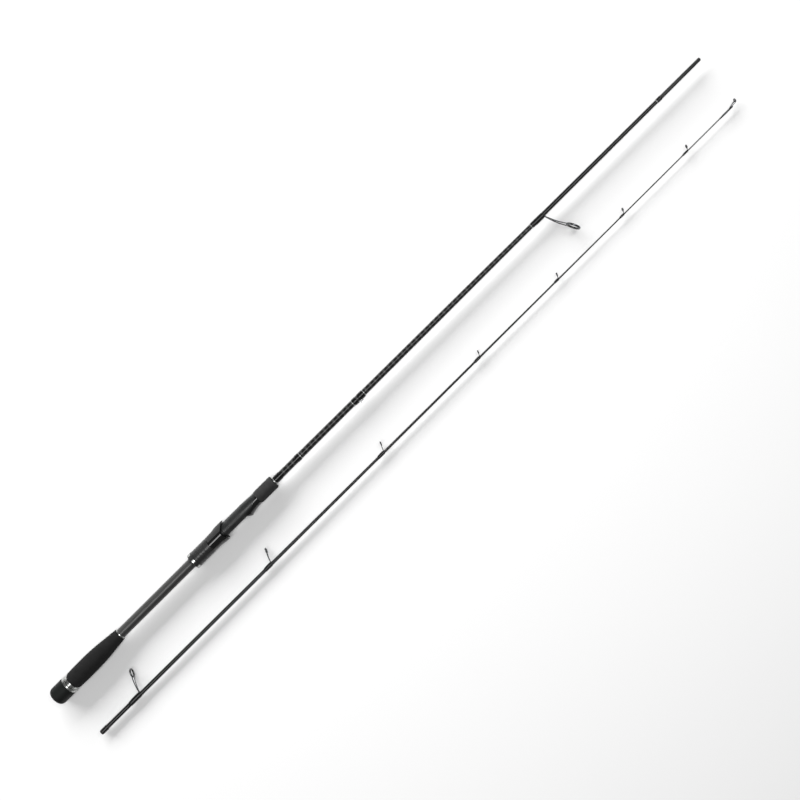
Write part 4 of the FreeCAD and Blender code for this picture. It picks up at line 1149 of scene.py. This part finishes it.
    def dress_all(self) -> None:
        """Build the seat's pieces and give them their finishes."""
        dress(self.build_body(), BUTT, SEAT_NYLON, ["seat_body"])
        dress(self.build_thread(), BUTT, SEAT_NYLON)
        dress(self.build_hood(), BUTT, HOOD_LACQUER)


@dataclass
class SlidingHood:
    """The hood on the barrel: gloss black on the foot side, and on the palm side a lighter matt grey
    that is painted light.
    """

    rear_radius: float = 12.0
    waist_radius: float = 12.5
    front_radius: float = 13.9
    waist_run: float = 12.0
    flare_run: float = 23.0
    tail_radius: float = 10.5
    barrel_bore: float = 9.42
    barrel_flat: float = 8.22
    seat_bore: float = 10.82
    bed_flat: float = 8.52
    collar: float = 8.0
    palm_line: float = 4.4
    palm_run: float = 8.5
    nut_gap: float = 0.12
    snap_rise: float = 0.4
    snap_length: float = 1.4
    pocket_depth: float = 11.0
    pocket_mouth: float = 11.8
    pocket_end: float = 10.0
    pocket_width: float = 10.8
    palm_start: float = 1.2

    def __post_init__(self) -> None:
        """Read the hood's places from the frame."""
        self.tail, self.palm_end = reach("sliding_hood")
        self.shoulder = reach("lock_nut")[1] + self.nut_gap
        self.mouth = self.palm_end - self.palm_run

    def outside(self) -> list[Point]:
        """Return the hood's outline: a snap tail, a waist, and a flare towards the mouth.

        Returns:
            The corners of its half section.
        """
        waist = self.shoulder + self.waist_run
        flare = self.shoulder + self.flare_run
        snap, snap_end = self.tail_radius + self.snap_rise, self.tail + self.snap_length
        outline = [(self.tail, 0.0), (self.tail, snap), (snap_end, snap),
                   (snap_end, self.tail_radius),
                   (self.shoulder, self.tail_radius), (self.shoulder, self.rear_radius)]
        steps = 8
        for number in range(1, steps + 1):
            share = number / steps
            outline.append((self.shoulder + self.waist_run * share, self.rear_radius
                            + (self.waist_radius - self.rear_radius) * share))
        for number in range(1, steps + 1):
            share = number / steps
            outline.append((waist + (flare - waist) * share, self.waist_radius
                            + (self.front_radius - self.waist_radius) * smooth(share)))
        return outline + [(self.palm_end, self.front_radius), (self.palm_end, 0.0)]

    def bore_tool(self) -> Piece:
        """Make the stepped bar that cuts the bore, with a flat so it can't turn on the seat.

        Returns:
            The tool.
        """
        start, step, end = self.tail - OVER, self.shoulder + self.collar, self.palm_end + 3
        bar = turned("bore_tool", BUTT, [
            (start, 0.0), (start, self.barrel_bore), (step, self.barrel_bore),
            (step, self.seat_bore), (end, self.seat_bore), (end, 0.0)], ROUND)
        side = slab("side_tool", BUTT, [
            (start - 1, self.barrel_flat), (step, self.barrel_flat), (step, self.bed_flat),
            (end + 1, self.bed_flat), (end + 1, 20.0), (start - 1, 20.0)], 50.0)
        return carved(bar, side)

    def front_tool(self) -> Piece:
        """Make the tool that slants the front edge from the palm side back to the foot side.

        Returns:
            The tool.
        """
        wide = self.front_radius + 2
        back = self.mouth - 3.5
        corners = [(self.mouth, wide), (self.mouth, 10.4), (back + 0.5, 5.1),
                   (back, 3.6), (back, -1.4), (back + 0.6, -2.8),
                   (self.palm_end + 0.5, -self.front_radius),
                   (self.palm_end + 4, -self.front_radius), (self.palm_end + 4, wide)]
        return slab("front_tool", BUTT, corners, wide * 2)

    def build_shells(self) -> tuple[Piece, Piece]:
        """Cut the hood from a turned block and split it along the palm line, so that the palm side can
        carry the lighter grey of painted light.

        Returns:
            The foot-side shell and the palm-side cover.
        """
        shells = []
        inside = self.mouth - self.pocket_depth
        palm_start = self.shoulder + self.palm_start
        for name, keep_palm in (("hood_shell", False), ("hood_palm_painted_light", True)):
            shell = turned(name, BUTT, self.outside(), ROUND)
            carved(shell, self.front_tool())
            carved(shell, self.bore_tool())
            pocket = slab("pocket_tool", BUTT, [
                (inside, self.bed_flat - OVER), (self.mouth + OVER, self.bed_flat - OVER),
                (self.mouth + OVER, self.pocket_mouth), (self.mouth, self.pocket_mouth),
                (inside, self.pocket_end)], self.pocket_width)
            carved(shell, pocket)
            far = self.front_radius + 3
            start = self.tail - OVER if keep_palm else palm_start
            half = box_between("half_tool", BUTT, (start, -self.palm_line, -far),
                               (self.palm_end + 2, far if keep_palm else -far, far))
            carved(shell, half)
            if keep_palm:
                rear = box_between("rear_tool", BUTT, (self.tail - OVER, -far, -far),
                                   (palm_start, far, far))
                carved(shell, rear)
            shells.append(eased(shell, 0.35, 2, 35))
        return shells[0], shells[1]

    def dress_all(self) -> None:
        """Build the two shells and give them their finishes."""
        shell, cover = self.build_shells()
        dress(shell, BUTT, HOOD_LACQUER, ["sliding_hood"], "sliding_hood")
        # The palm cover's lighter grey is painted light, for the light that falls on the palm side.
        dress(cover, BUTT, PALM_PAINTED_LIGHT, body="sliding_hood")


@dataclass
class LockNut:
    """The locking nut with its six bright pads."""

    head_length: float = 7.2
    head_radius: float = 12.6
    radius: float = 12.2
    bore: float = 9.42
    recess: float = 10.62
    recess_length: float = 6.2
    grooves: int = 4
    groove_start: float = 3.0
    groove_pitch: float = 5.2
    groove_width: float = 1.0
    groove_depth: float = 0.55
    crown: float = 0.16
    pads: int = 6
    pad_rim: float = 1.3
    pad_length: float = 4.4
    pad_width: float = 5.6
    pad_radius: float = 12.75
    window_gap: float = 0.35
    window_floor: float = 11.4
    hoop_bore: float = 11.3
    sides: int = 120

    def build_nut(self) -> Piece:
        """Turn the nut: a head, then crowned segments with grip grooves between them.

        Returns:
            The nut.
        """
        start, end = reach("lock_nut")
        head = start + self.head_length
        outline = [(start, self.bore), (start, self.head_radius - 0.7),
                   (start + 0.7, self.head_radius), (head - 0.5, self.head_radius),
                   (head - 0.2, self.radius - 0.5), (head + 0.6, self.radius - 0.5)]
        edges = [head + 0.9]
        for number in range(self.grooves):
            groove = head + self.groove_start + self.groove_pitch * number
            edges += [groove, groove + self.groove_width]
        edges.append(end)
        low = self.radius - self.groove_depth
        steps = 6
        for left, right in zip(edges[::2], edges[1::2]):
            for number in range(steps + 1):
                away = 2 * number / steps - 1
                outline.append((left + (right - left) * number / steps,
                                self.radius - self.crown * away * away))
            if right < end:
                outline += [(right + self.groove_width * 0.3, low),
                            (right + self.groove_width * 0.7, low)]
        outline += [(end, self.recess), (end - self.recess_length, self.recess),
                    (end - self.recess_length, self.bore)]
        nut = turned("nut_shell", BUTT, outline, self.sides)
        for tool in self.pad_blocks(self.window_gap, self.window_floor):
            carved(nut, tool)
        return eased(nut, 0.12, 2, 40)

    def pad_blocks(self, gap: float, inner: float) -> list[Piece]:
        """Make one block where each pad stands, larger than the pad by `gap`.

        Args:
            gap: how much larger, on each side.
            inner: how far from the axis the blocks start.

        Returns:
            The blocks.
        """
        start = reach("lock_nut")[0] + self.pad_rim
        block = box_between("pad_block", BUTT, (start - gap, -self.pad_width / 2 - gap, inner),
                            (start + self.pad_length + gap, self.pad_width / 2 + gap, 15.0))
        blocks = [eased(block, 0.8 + gap, 3, 60)]
        while len(blocks) < self.pads:
            blocks.append(turned_copy(blocks[-1], BUTT, 360 / self.pads))
        return blocks

    def build_pads(self) -> Piece:
        """Cut the pads from a turned ring and round them, on the hoop that joins them.

        Returns:
            The pads in one piece.
        """
        start = reach("lock_nut")[0] + self.pad_rim
        ring = turned("nut_pads", BUTT, [
            (start - 1, self.hoop_bore), (start - 1, self.pad_radius),
            (start + self.pad_length + 1, self.pad_radius),
            (start + self.pad_length + 1, self.hoop_bore)], self.sides)
        blocks = joined("pads_tool", self.pad_blocks(0.0, 10.0))
        return eased(carved(ring, blocks, "INTERSECT"), 0.35, 3, 40)

    def dress_all(self) -> None:
        """Build the nut and its pads and give them their finishes."""
        dress(self.build_nut(), BUTT, NUT_NYLON, ["lock_nut"], "lock_nut")
        dress(self.build_pads(), BUTT, BRIGHT_ALUMINIUM,
              ["lock_nut_ring"], "lock_nut")


@dataclass
class Foregrip:
    """Foam grip ahead of the seat and the winding check that ends it."""

    chamfer_run: float = 2.6
    chamfer: float = 0.9
    front_round: float = 1.6
    rear_bore: float = 5.7
    front_bore: float = 5.6
    check_bore: float = 5.56
    check_crown: float = 0.5

    def build_grip(self) -> Piece:
        """Turn the grip, chamfered at its rear and rounded at its front.

        Returns:
            The grip.
        """
        start, end = reach("foregrip")
        radius = radius_of("foregrip")
        outline = [(start, self.rear_bore), (start, radius - self.chamfer),
                   (start + self.chamfer_run * 0.5, radius - self.chamfer * 0.35),
                   (start + self.chamfer_run, radius)]
        outline += arc((end - self.front_round, radius - self.front_round), self.front_round,
                       90, 0, 6)
        outline.append((end, self.front_bore))
        return turned("fore_foam", BUTT, outline, ROUND)

    def build_check(self) -> Piece:
        """Turn the winding check, crowned.

        Returns:
            The winding check.
        """
        start, end = reach("winding_check")
        return turned("winding_collar", BUTT, pillow(
            start, end, self.check_bore, radius_of("winding_check"), self.check_crown))

    def dress_all(self) -> None:
        """Build both and give them their finishes."""
        dress(self.build_grip(), BUTT, FOREGRIP_FOAM, ["foregrip"])
        dress(self.build_check(), BUTT, BRIGHT_ALUMINIUM,
              ["winding_check"])


# ------------------------------------------------------------------ wraps and bands
@dataclass
class ThreadWrap:
    """A varnished thread wrap, which swells over a guide's foot if it holds one."""

    node: str
    section: Section
    taper: Taper
    height: float = 0.55
    foot: float = 0.0
    ramp: float = 0.12
    ramp_start: float = 0.15
    foot_ramp: float = 0.45
    foot_drop: float = 0.05
    shares: tuple[float, ...] = (0.0, 0.02, 0.06, 0.12, 0.2, 0.35, 0.5, 0.65, 0.8, 0.9, 0.95,
                                 0.98, 1.0)

    def build(self) -> Piece:
        """Draw the wrap out, low at its ends and pushed out on the side of the foot.

        Returns:
            The wrap.
        """
        start, end = reach(self.node)
        run = end - start
        stations = []
        for share in self.shares:
            x = start + run * share
            rise = smooth(min(share, 1 - share) / self.ramp + self.ramp_start) * self.height
            over = self.foot * smooth(share / self.foot_ramp)
            over *= smooth((1 - share) / self.foot_drop + self.foot_ramp)
            stations.append((x, self.taper.at(x) + rise + over / 2, over / 2))
        return drawn_out(self.node.replace("_wrap", "_thread"), self.section, stations, BAR_ROUND)

    def dress_all(self) -> None:
        """Build the wrap and give it its finish."""
        dress(self.build(), self.section, THREAD_EPOXY, [self.node])


@dataclass
class SilverBands:
    """The five metallic thread bands of the butt section, in one object."""

    length: float = 1.2
    height: float = 0.38
    sunk: float = 0.1
    crown: float = 0.12

    def build(self) -> Piece:
        """Turn a small crowned ring at each band's place.

        Returns:
            The bands in one piece.
        """
        keeper_start = reach("keeper_rear_wrap")[0]
        places = (reach("marker_wrap")[1], keeper_start - self.length,
                  reach("keeper_front_wrap")[1], reach("guide_1_wrap")[0] - self.length,
                  reach("spigot_wrap")[0] - self.length)
        bands = []
        for number, start in enumerate(places):
            blank = BUTT_TAPER.at(start)
            bands.append(turned(f"silver_band_{number}", BUTT, pillow(
                start, start + self.length, blank - self.sunk, blank + self.height,
                self.crown), 64))
        return joined("silver_bands", bands)

    def dress_all(self) -> None:
        """Build the bands and give them their finish."""
        dress(self.build(), BUTT, SILVER_THREAD, ["butt_trim_bands"])


# ------------------------------------------------------------------ hook keeper
@dataclass
class HookKeeper:
    """A strip under two wraps with a barrel between them, and the loop that folds on it."""

    barrel_radius: float = 1.4
    wire_radius: float = 0.45
    strip_thickness: float = 0.5
    pin_gap: float = 0.06
    end_gap: float = 0.05
    bow_share: float = 0.55

    def build_strip(self) -> Piece:
        """Shape the strip from a block, and stand the drilled barrel on it.

        Returns:
            The strip with its barrel.
        """
        low, high = (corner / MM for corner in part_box("keeper_frame"))
        half = (high.z - low.z) / 2
        middle, across = self.pivot()
        under = BUTT_TAPER.at(middle) + GLUE_GAP
        strip = box_between("keeper_base", BUTT, (low.x, under, -half),
                            (high.x, under + self.strip_thickness, half))
        eased(strip, 0.15, 2)
        bpy.ops.mesh.primitive_cylinder_add(vertices=32, radius=self.barrel_radius * MM,
                                            depth=half * 2 * MM,
                                            location=BUTT.spot(middle, across))
        barrel = started("keeper_barrel")
        bpy.ops.mesh.primitive_cylinder_add(vertices=24, radius=(self.wire_radius + self.pin_gap) * MM,
                                            depth=half * 4 * MM,
                                            location=BUTT.spot(middle, across))
        carved(barrel, started("barrel_tool"))
        eased(barrel, 0.12, 2, 50)
        return joined("keeper_base", [strip, barrel])

    def pivot(self) -> Point:
        """Return the pin's place: x, and its distance from the axis.

        Returns:
            The place.
        """
        low, high = (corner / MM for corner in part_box("keeper_frame"))
        window = (reach("keeper_rear_wrap")[1] + reach("keeper_front_wrap")[0]) / 2
        return window, BUTT.axis_y - low.y - self.barrel_radius

    def build_loop(self) -> Piece:
        """Bend the loop: a pin through the barrel, two legs and a round bow.

        Returns:
            The loop.
        """
        x, across = self.pivot()
        low, high = (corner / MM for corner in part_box("keeper_loop"))
        arm = (high.z - low.z) / 2 - self.wire_radius
        far = high.x - self.wire_radius
        leg = far - arm * self.bow_share
        gap = self.end_gap
        line = [(x, -gap), (x, -arm), (x, -arm), (leg, -arm), (far, -arm), (far, 0.0),
                (far, arm), (leg, arm), (x, arm), (x, arm), (x, gap)]
        return wire("keeper_ring", [BUTT.spot(along, across, up) for along, up in line],
                    [self.wire_radius] * len(line), 3)

    def dress_all(self) -> None:
        """Build both pieces and give them their finishes."""
        dress(self.build_strip(), BUTT, KEEPER_STEEL, ["keeper_frame"])
        dress(self.build_loop(), BUTT, KEEPER_STEEL, ["keeper_loop"],
              "keeper_loop")


# ------------------------------------------------------------------ guides
def hoop(name: str, radius: float, wall: float, width: float, spot: Spot,
         lean: float) -> Piece:
    """Turn a hoop with rounded edges and lean it into its place.

    Args:
        name: name of the new piece.
        radius: its outside.
        wall: how thick it is.
        width: along its own axis.
        spot: its middle, in metres.
        lean: degrees about Z from facing along X.

    Returns:
        The hoop.
    """
    centre = Section("", 0.0, 0.0, Side.TIP)
    soft = min(wall, width) * 0.35
    outline = [(-width / 2, radius - wall), (-width / 2, radius - soft),
               (-width / 2 + soft, radius), (width / 2 - soft, radius),
               (width / 2, radius - soft), (width / 2, radius - wall)]
    return leaned(turned(name, centre, outline, 64), spot, lean)


def line_ring(name: str, radius: float, wall: float, width: float, spot: Spot,
              lean: float) -> Piece:
    """Turn a ceramic ring, flat outside and half round where the line runs.

    Args:
        name: name of the new piece.
        radius: its outside.
        wall: how thick it is.
        width: along its own axis.
        spot: its middle, in metres.
        lean: degrees about Z from facing along X.

    Returns:
        The ring.
    """
    centre = Section("", 0.0, 0.0, Side.TIP)
    soft = min(width / 2, wall * 0.8)
    inner = radius - wall + soft
    outline = [(-width / 2, radius), (width / 2, radius), (width / 2, inner)]
    for number in range(1, 8):
        angle = math.pi * number / 8
        outline.append((width / 2 * math.cos(angle), inner - soft * math.sin(angle)))
    outline.append((-width / 2, inner))
    return leaned(turned(name, centre, outline, 64), spot, lean)


@dataclass
class LineGuide:
    """A single-foot guide: a foot under the wrap, two legs, a hoop and its ceramic ring."""

    name: str
    section: Section
    taper: Taper
    lean: float
    wire_radius: float
    hoop_wall: float
    ring_wall: float
    hoop_width: float
    foot_width: float
    foot_thickness: float
    leg_gap: float = 0.8
    seat_back: float = 20.0
    flank: float = 60.0
    heel: float = 1.2
    foot_tip: float = 0.12
    ring_proud: float = 0.3
    foot_cover: float = 0.1

    def __post_init__(self) -> None:
        """Read the guide's places from the frame."""
        low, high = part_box(f"{self.name}_ring")
        self.centre = tuple((low + high) / 2)
        self.hoop_radius = radius_of(f"{self.name}_frame")
        self.leg_x = reach(f"{self.name}_wrap")[1] + self.leg_gap
        self.turn = -self.section.side.value * self.lean
        self.foot_rise = self.taper.at(self.leg_x - self.seat_back) + GLUE_GAP

    def beside(self, down: float, up: float, forward: float = 0.0) -> Spot:
        """Return a point on the hoop's plane, `down` towards the blank and `up` along Z.

        Args:
            down: towards the blank.
            up: along Z.
            forward: along the hoop's own axis.

        Returns:
            The point, in metres.
        """
        lean = math.radians(self.lean)
        side = self.section.side.value
        return (self.centre[0] + (forward * math.cos(lean) - down * math.sin(lean)) * MM,
                self.centre[1] - side * (forward * math.sin(lean) + down * math.cos(lean)) * MM,
                self.centre[2] + up * MM)

    def build_leg(self, hand: int) -> Piece:
        """Bend one leg: upright at the blank, curving forward to the hoop's flank.

        Args:
            hand: -1 for the lower leg, 1 for the upper.

        Returns:
            The leg.
        """
        root = self.foot_width / 2 - self.wire_radius
        mean = self.hoop_radius - self.hoop_wall / 2
        flank = math.radians(self.flank)
        foot = self.section.spot(self.leg_x, self.foot_rise + self.foot_thickness / 2,
                                 root * hand)
        end = self.beside(mean * math.cos(flank), mean * math.sin(flank) * hand)
        rise = end[1] - foot[1]
        steep = math.tan(math.radians(self.lean * 0.4))
        knee = (foot[0] + abs(rise) * 0.5 * steep, foot[1] + rise * 0.5,
                foot[2] + (end[2] - foot[2]) * 0.35)
        heel = self.section.spot(self.leg_x - self.heel, self.foot_rise + self.foot_thickness / 2,
                                 root * hand)
        thick = self.wire_radius
        return wire(f"{self.name}_leg_{hand}", [heel, foot, knee, end],
                    [thick * 0.9, thick * 1.15, thick, thick * 0.95])

    def build_frame(self) -> Piece:
        """Join the foot, the two legs and the hoop.

        Returns:
            The frame in one piece.
        """
        start = reach(f"{self.name}_frame")[0]
        foot = slab(f"{self.name}_foot", self.section, [
            (start, self.foot_rise), (self.leg_x + self.wire_radius, self.foot_rise),
            (self.leg_x + self.wire_radius, self.foot_rise + self.foot_thickness),
            (start, self.foot_rise + self.foot_tip)], self.foot_width)
        eased(foot, self.foot_thickness * 0.2, 2, 50)
        ring = hoop(f"{self.name}_hoop", self.hoop_radius, self.hoop_wall, self.hoop_width,
                    self.centre, self.turn)
        return joined(f"{self.name}_steel",
                      [ring, foot, self.build_leg(-1), self.build_leg(1)])

    def dress_all(self) -> None:
        """Build the guide with its wrap and give it its finishes."""
        dress(self.build_frame(), self.section, DARK_CHROME,
              [f"{self.name}_frame"], angle=50)
        ring = line_ring(f"{self.name}_ceramic", self.hoop_radius - self.hoop_wall,
                         self.ring_wall, self.hoop_width + self.ring_proud, self.centre,
                         self.turn)
        dress(ring, self.section, RING_CERAMIC, [f"{self.name}_ring"],
              angle=50)
        ThreadWrap(f"{self.name}_wrap", self.section, self.taper,
                   foot=self.foot_thickness + self.foot_cover).dress_all()


@dataclass
class TipTop:
    """The end guide: a tube on the blank's tip, a hoop ahead of it, a spine and two braces."""

    lean: float = 15.0
    tube_radius: float = 1.35
    tube_length: float = 22.0
    hoop_radius: float = 3.0
    hoop_wall: float = 0.45
    ring_wall: float = 0.7
    hoop_width: float = 1.4
    wire_radius: float = 0.42

    def build_frame(self) -> Piece:
        """Turn the tube and bend the wires that carry the hoop.

        Returns:
            The frame in one piece.
        """
        low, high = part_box("tip_top_ring")
        centre = (low + high) / 2
        across = (centre.y / MM - TIP.axis_y)
        x = centre.x / MM
        start = reach("tip_top_frame")[0]
        end = start + self.tube_length
        tube = turned("tip_tube", TIP, [(start, 0.8), (start, self.tube_radius - 0.1),
                                        (start + 0.3, self.tube_radius),
                                        (end - 0.6, self.tube_radius),
                                        (end, self.tube_radius - 0.5), (end, 0.0),
                                        (end - 2, 0.0), (end - 2, 0.8)], 32)
        mean = self.hoop_radius - self.hoop_wall / 2
        parts = [tube, hoop("tip_hoop", self.hoop_radius, self.hoop_wall, self.hoop_width,
                            tuple(centre), -self.lean)]
        parts.append(wire("tip_spine", [
            TIP.spot(end - 4, 0.45), TIP.spot(end, 0.6),
            TIP.spot(x - mean * 0.3, across - mean * 0.97)], [self.wire_radius] * 3, 3))
        for hand in (-1, 1):
            parts.append(wire(f"tip_brace_{hand}", [
                TIP.spot(end - 9, 0.4, 0.8 * hand), TIP.spot(end - 4, 1.6, 1.5 * hand),
                TIP.spot(x, across, mean * hand)], [self.wire_radius] * 3, 3))
        return joined("tip_top_steel", parts)

    def dress_all(self) -> None:
        """Build the tip-top and its wrap and give them their finishes."""
        low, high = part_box("tip_top_ring")
        dress(self.build_frame(), TIP, DARK_CHROME, ["tip_top_frame"],
              angle=50)
        ring = line_ring("tip_top_ceramic", self.hoop_radius - self.hoop_wall, self.ring_wall,
                         self.hoop_width + 0.3, tuple((low + high) / 2), -self.lean)
        dress(ring, TIP, RING_CERAMIC, ["tip_top_ring"], angle=50)
        ThreadWrap("tip_top_wrap", TIP, TIP_TAPER, 0.3).dress_all()


# Name, section, taper, lean in degrees, then millimetres: wire radius, hoop wall, ring wall,
# hoop width, foot width and foot thickness.
GUIDES = (
    LineGuide("guide_1", BUTT, BUTT_TAPER, 25.5, 0.85, 0.80, 1.90, 2.8, 3.4, 0.8),
    LineGuide("guide_2", TIP, TIP_TAPER, 23.0, 0.70, 0.70, 1.30, 2.2, 2.8, 0.7),
    LineGuide("guide_3", TIP, TIP_TAPER, 22.0, 0.55, 0.55, 0.95, 1.8, 2.2, 0.6),
    LineGuide("guide_4", TIP, TIP_TAPER, 22.0, 0.50, 0.50, 0.80, 1.6, 1.9, 0.5),
    LineGuide("guide_5", TIP, TIP_TAPER, 22.0, 0.42, 0.42, 0.65, 1.4, 1.6, 0.4),
    LineGuide("guide_6", TIP, TIP_TAPER, 22.0, 0.40, 0.40, 0.60, 1.3, 1.4, 0.4),
    LineGuide("guide_7", TIP, TIP_TAPER, 22.0, 0.38, 0.40, 0.60, 1.3, 1.2, 0.35),
    LineGuide("guide_8", TIP, TIP_TAPER, 22.0, 0.36, 0.40, 0.60, 1.3, 1.1, 0.35),
)


# ------------------------------------------------------------------ hidden pieces
@dataclass
class InnerParts:
    """CAD pieces that stay as they are: bushes, arbors and the pads in the hood pockets."""

    def dress_all(self) -> None:
        """Give each of them its material."""
        for node, finish in (("handle_bushes", BUSH_NYLON), ("seat_arbors", BUSH_NYLON),
                             ("fixed_hood_liner", HOOD_PAD), ("hood_liner", HOOD_PAD)):
            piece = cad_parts[node]
            piece.data.materials.clear()
            piece.data.materials.append(finish.made_for(BUTT))
            LOG.info("%-22s keeps its CAD mesh", node)


# ------------------------------------------------------------------ studio
@dataclass
class Studio:
    """Pale floor, soft lights and the camera over the rod."""

    floor_size: float = 24.0
    camera_height: float = 1.4905
    camera_x: float = 0.0012
    camera_y: float = -0.0087
    camera_turn: float = -44.8
    lens: float = 45.0
    paper: str = "#e6e6e6"
    overhead_spot: Spot = (0.0, 0.0, 2.0)
    overhead_size: Point = (3.6, 0.5)
    overhead_power: float = 34.0
    side_spot: Spot = (0.0, 5.0, 2.17)
    side_size: Point = (7.0, 2.3)
    side_power: float = 620.0
    surroundings: float = 0.14

    def build_floor(self) -> None:
        """Lay the floor under the object."""
        bpy.ops.mesh.primitive_plane_add(size=self.floor_size, location=(0.0, 0.0, 0.0))
        floor = started("studio_floor")
        material = bpy.data.materials.new("studio_floor_paper")
        material.use_nodes = True
        shader = material.node_tree.nodes["Principled BSDF"]
        shader.inputs["Base Color"].default_value = linear(self.paper)
        shader.inputs["Roughness"].default_value = 0.9
        floor.data.materials.append(material)

    def add_light(self, name: str, spot: Spot, aim: Spot, size: Point, power: float) -> Piece:
        """Hang one soft rectangular light.

        Args:
            name: the light's name.
            spot: where it hangs.
            aim: the point it faces.
            size: its length along X and its width, in metres.
            power: in watts.

        Returns:
            The light.
        """
        bpy.ops.object.light_add(type="AREA", location=spot)
        lamp = bpy.context.object
        lamp.name = name
        lamp.data.shape = "RECTANGLE"
        lamp.data.size, lamp.data.size_y = size
        lamp.data.energy = power
        away = Vector(spot) - Vector(aim)
        across = Vector((1.0, 0.0, 0.0))
        up = away.normalized().cross(across).normalized()
        turn = Matrix((across, up, away.normalized())).transposed()
        lamp.rotation_euler = turn.to_euler()
        return lamp

    def build_all(self) -> None:
        """Set up the floor, the lights, the surroundings and the camera."""
        self.build_floor()
        middle = (0.0, 0.0, 0.0)
        self.add_light("overhead_softbox", self.overhead_spot, middle, self.overhead_size,
                       self.overhead_power)
        side = self.add_light("side_softbox", self.side_spot, middle, self.side_size,
                              self.side_power)
        side.visible_glossy = False
        world = bpy.data.worlds.new("studio_surroundings")
        world.use_nodes = True
        world.node_tree.nodes["Background"].inputs["Color"].default_value = (1.0, 1.0, 1.0, 1.0)
        world.node_tree.nodes["Background"].inputs["Strength"].default_value = self.surroundings
        bpy.context.scene.world = world
        bpy.ops.object.camera_add(
            location=(self.camera_x, self.camera_y, self.camera_height),
            rotation=(0.0, 0.0, math.radians(self.camera_turn)))
        camera = bpy.context.object
        camera.data.lens = self.lens
        bpy.context.scene.camera = camera
        bpy.context.scene.view_settings.view_transform = "Standard"


def main() -> None:
    """Build every sub-assembly in order, then the studio."""
    logging.basicConfig(level=logging.INFO, format="%(name)s: %(message)s")
    for assembly in (ButtEnd(), Blanks(), ReelSeat(), SlidingHood(), LockNut(), Foregrip(),
                     SilverBands(), HookKeeper(), *GUIDES, TipTop(), InnerParts()):
        assembly.dress_all()
    for node, section, taper in (("foregrip_wrap", BUTT, BUTT_TAPER),
                                 ("marker_wrap", BUTT, BUTT_TAPER),
                                 ("spigot_wrap", BUTT, BUTT_TAPER),
                                 ("tip_ferrule_wrap", TIP, TIP_TAPER)):
        ThreadWrap(node, section, taper).dress_all()
    for node in ("keeper_rear_wrap", "keeper_front_wrap"):
        ThreadWrap(node, BUTT, BUTT_TAPER, foot=0.6).dress_all()
    Studio().build_all()


if __name__ == "__main__":
    main()
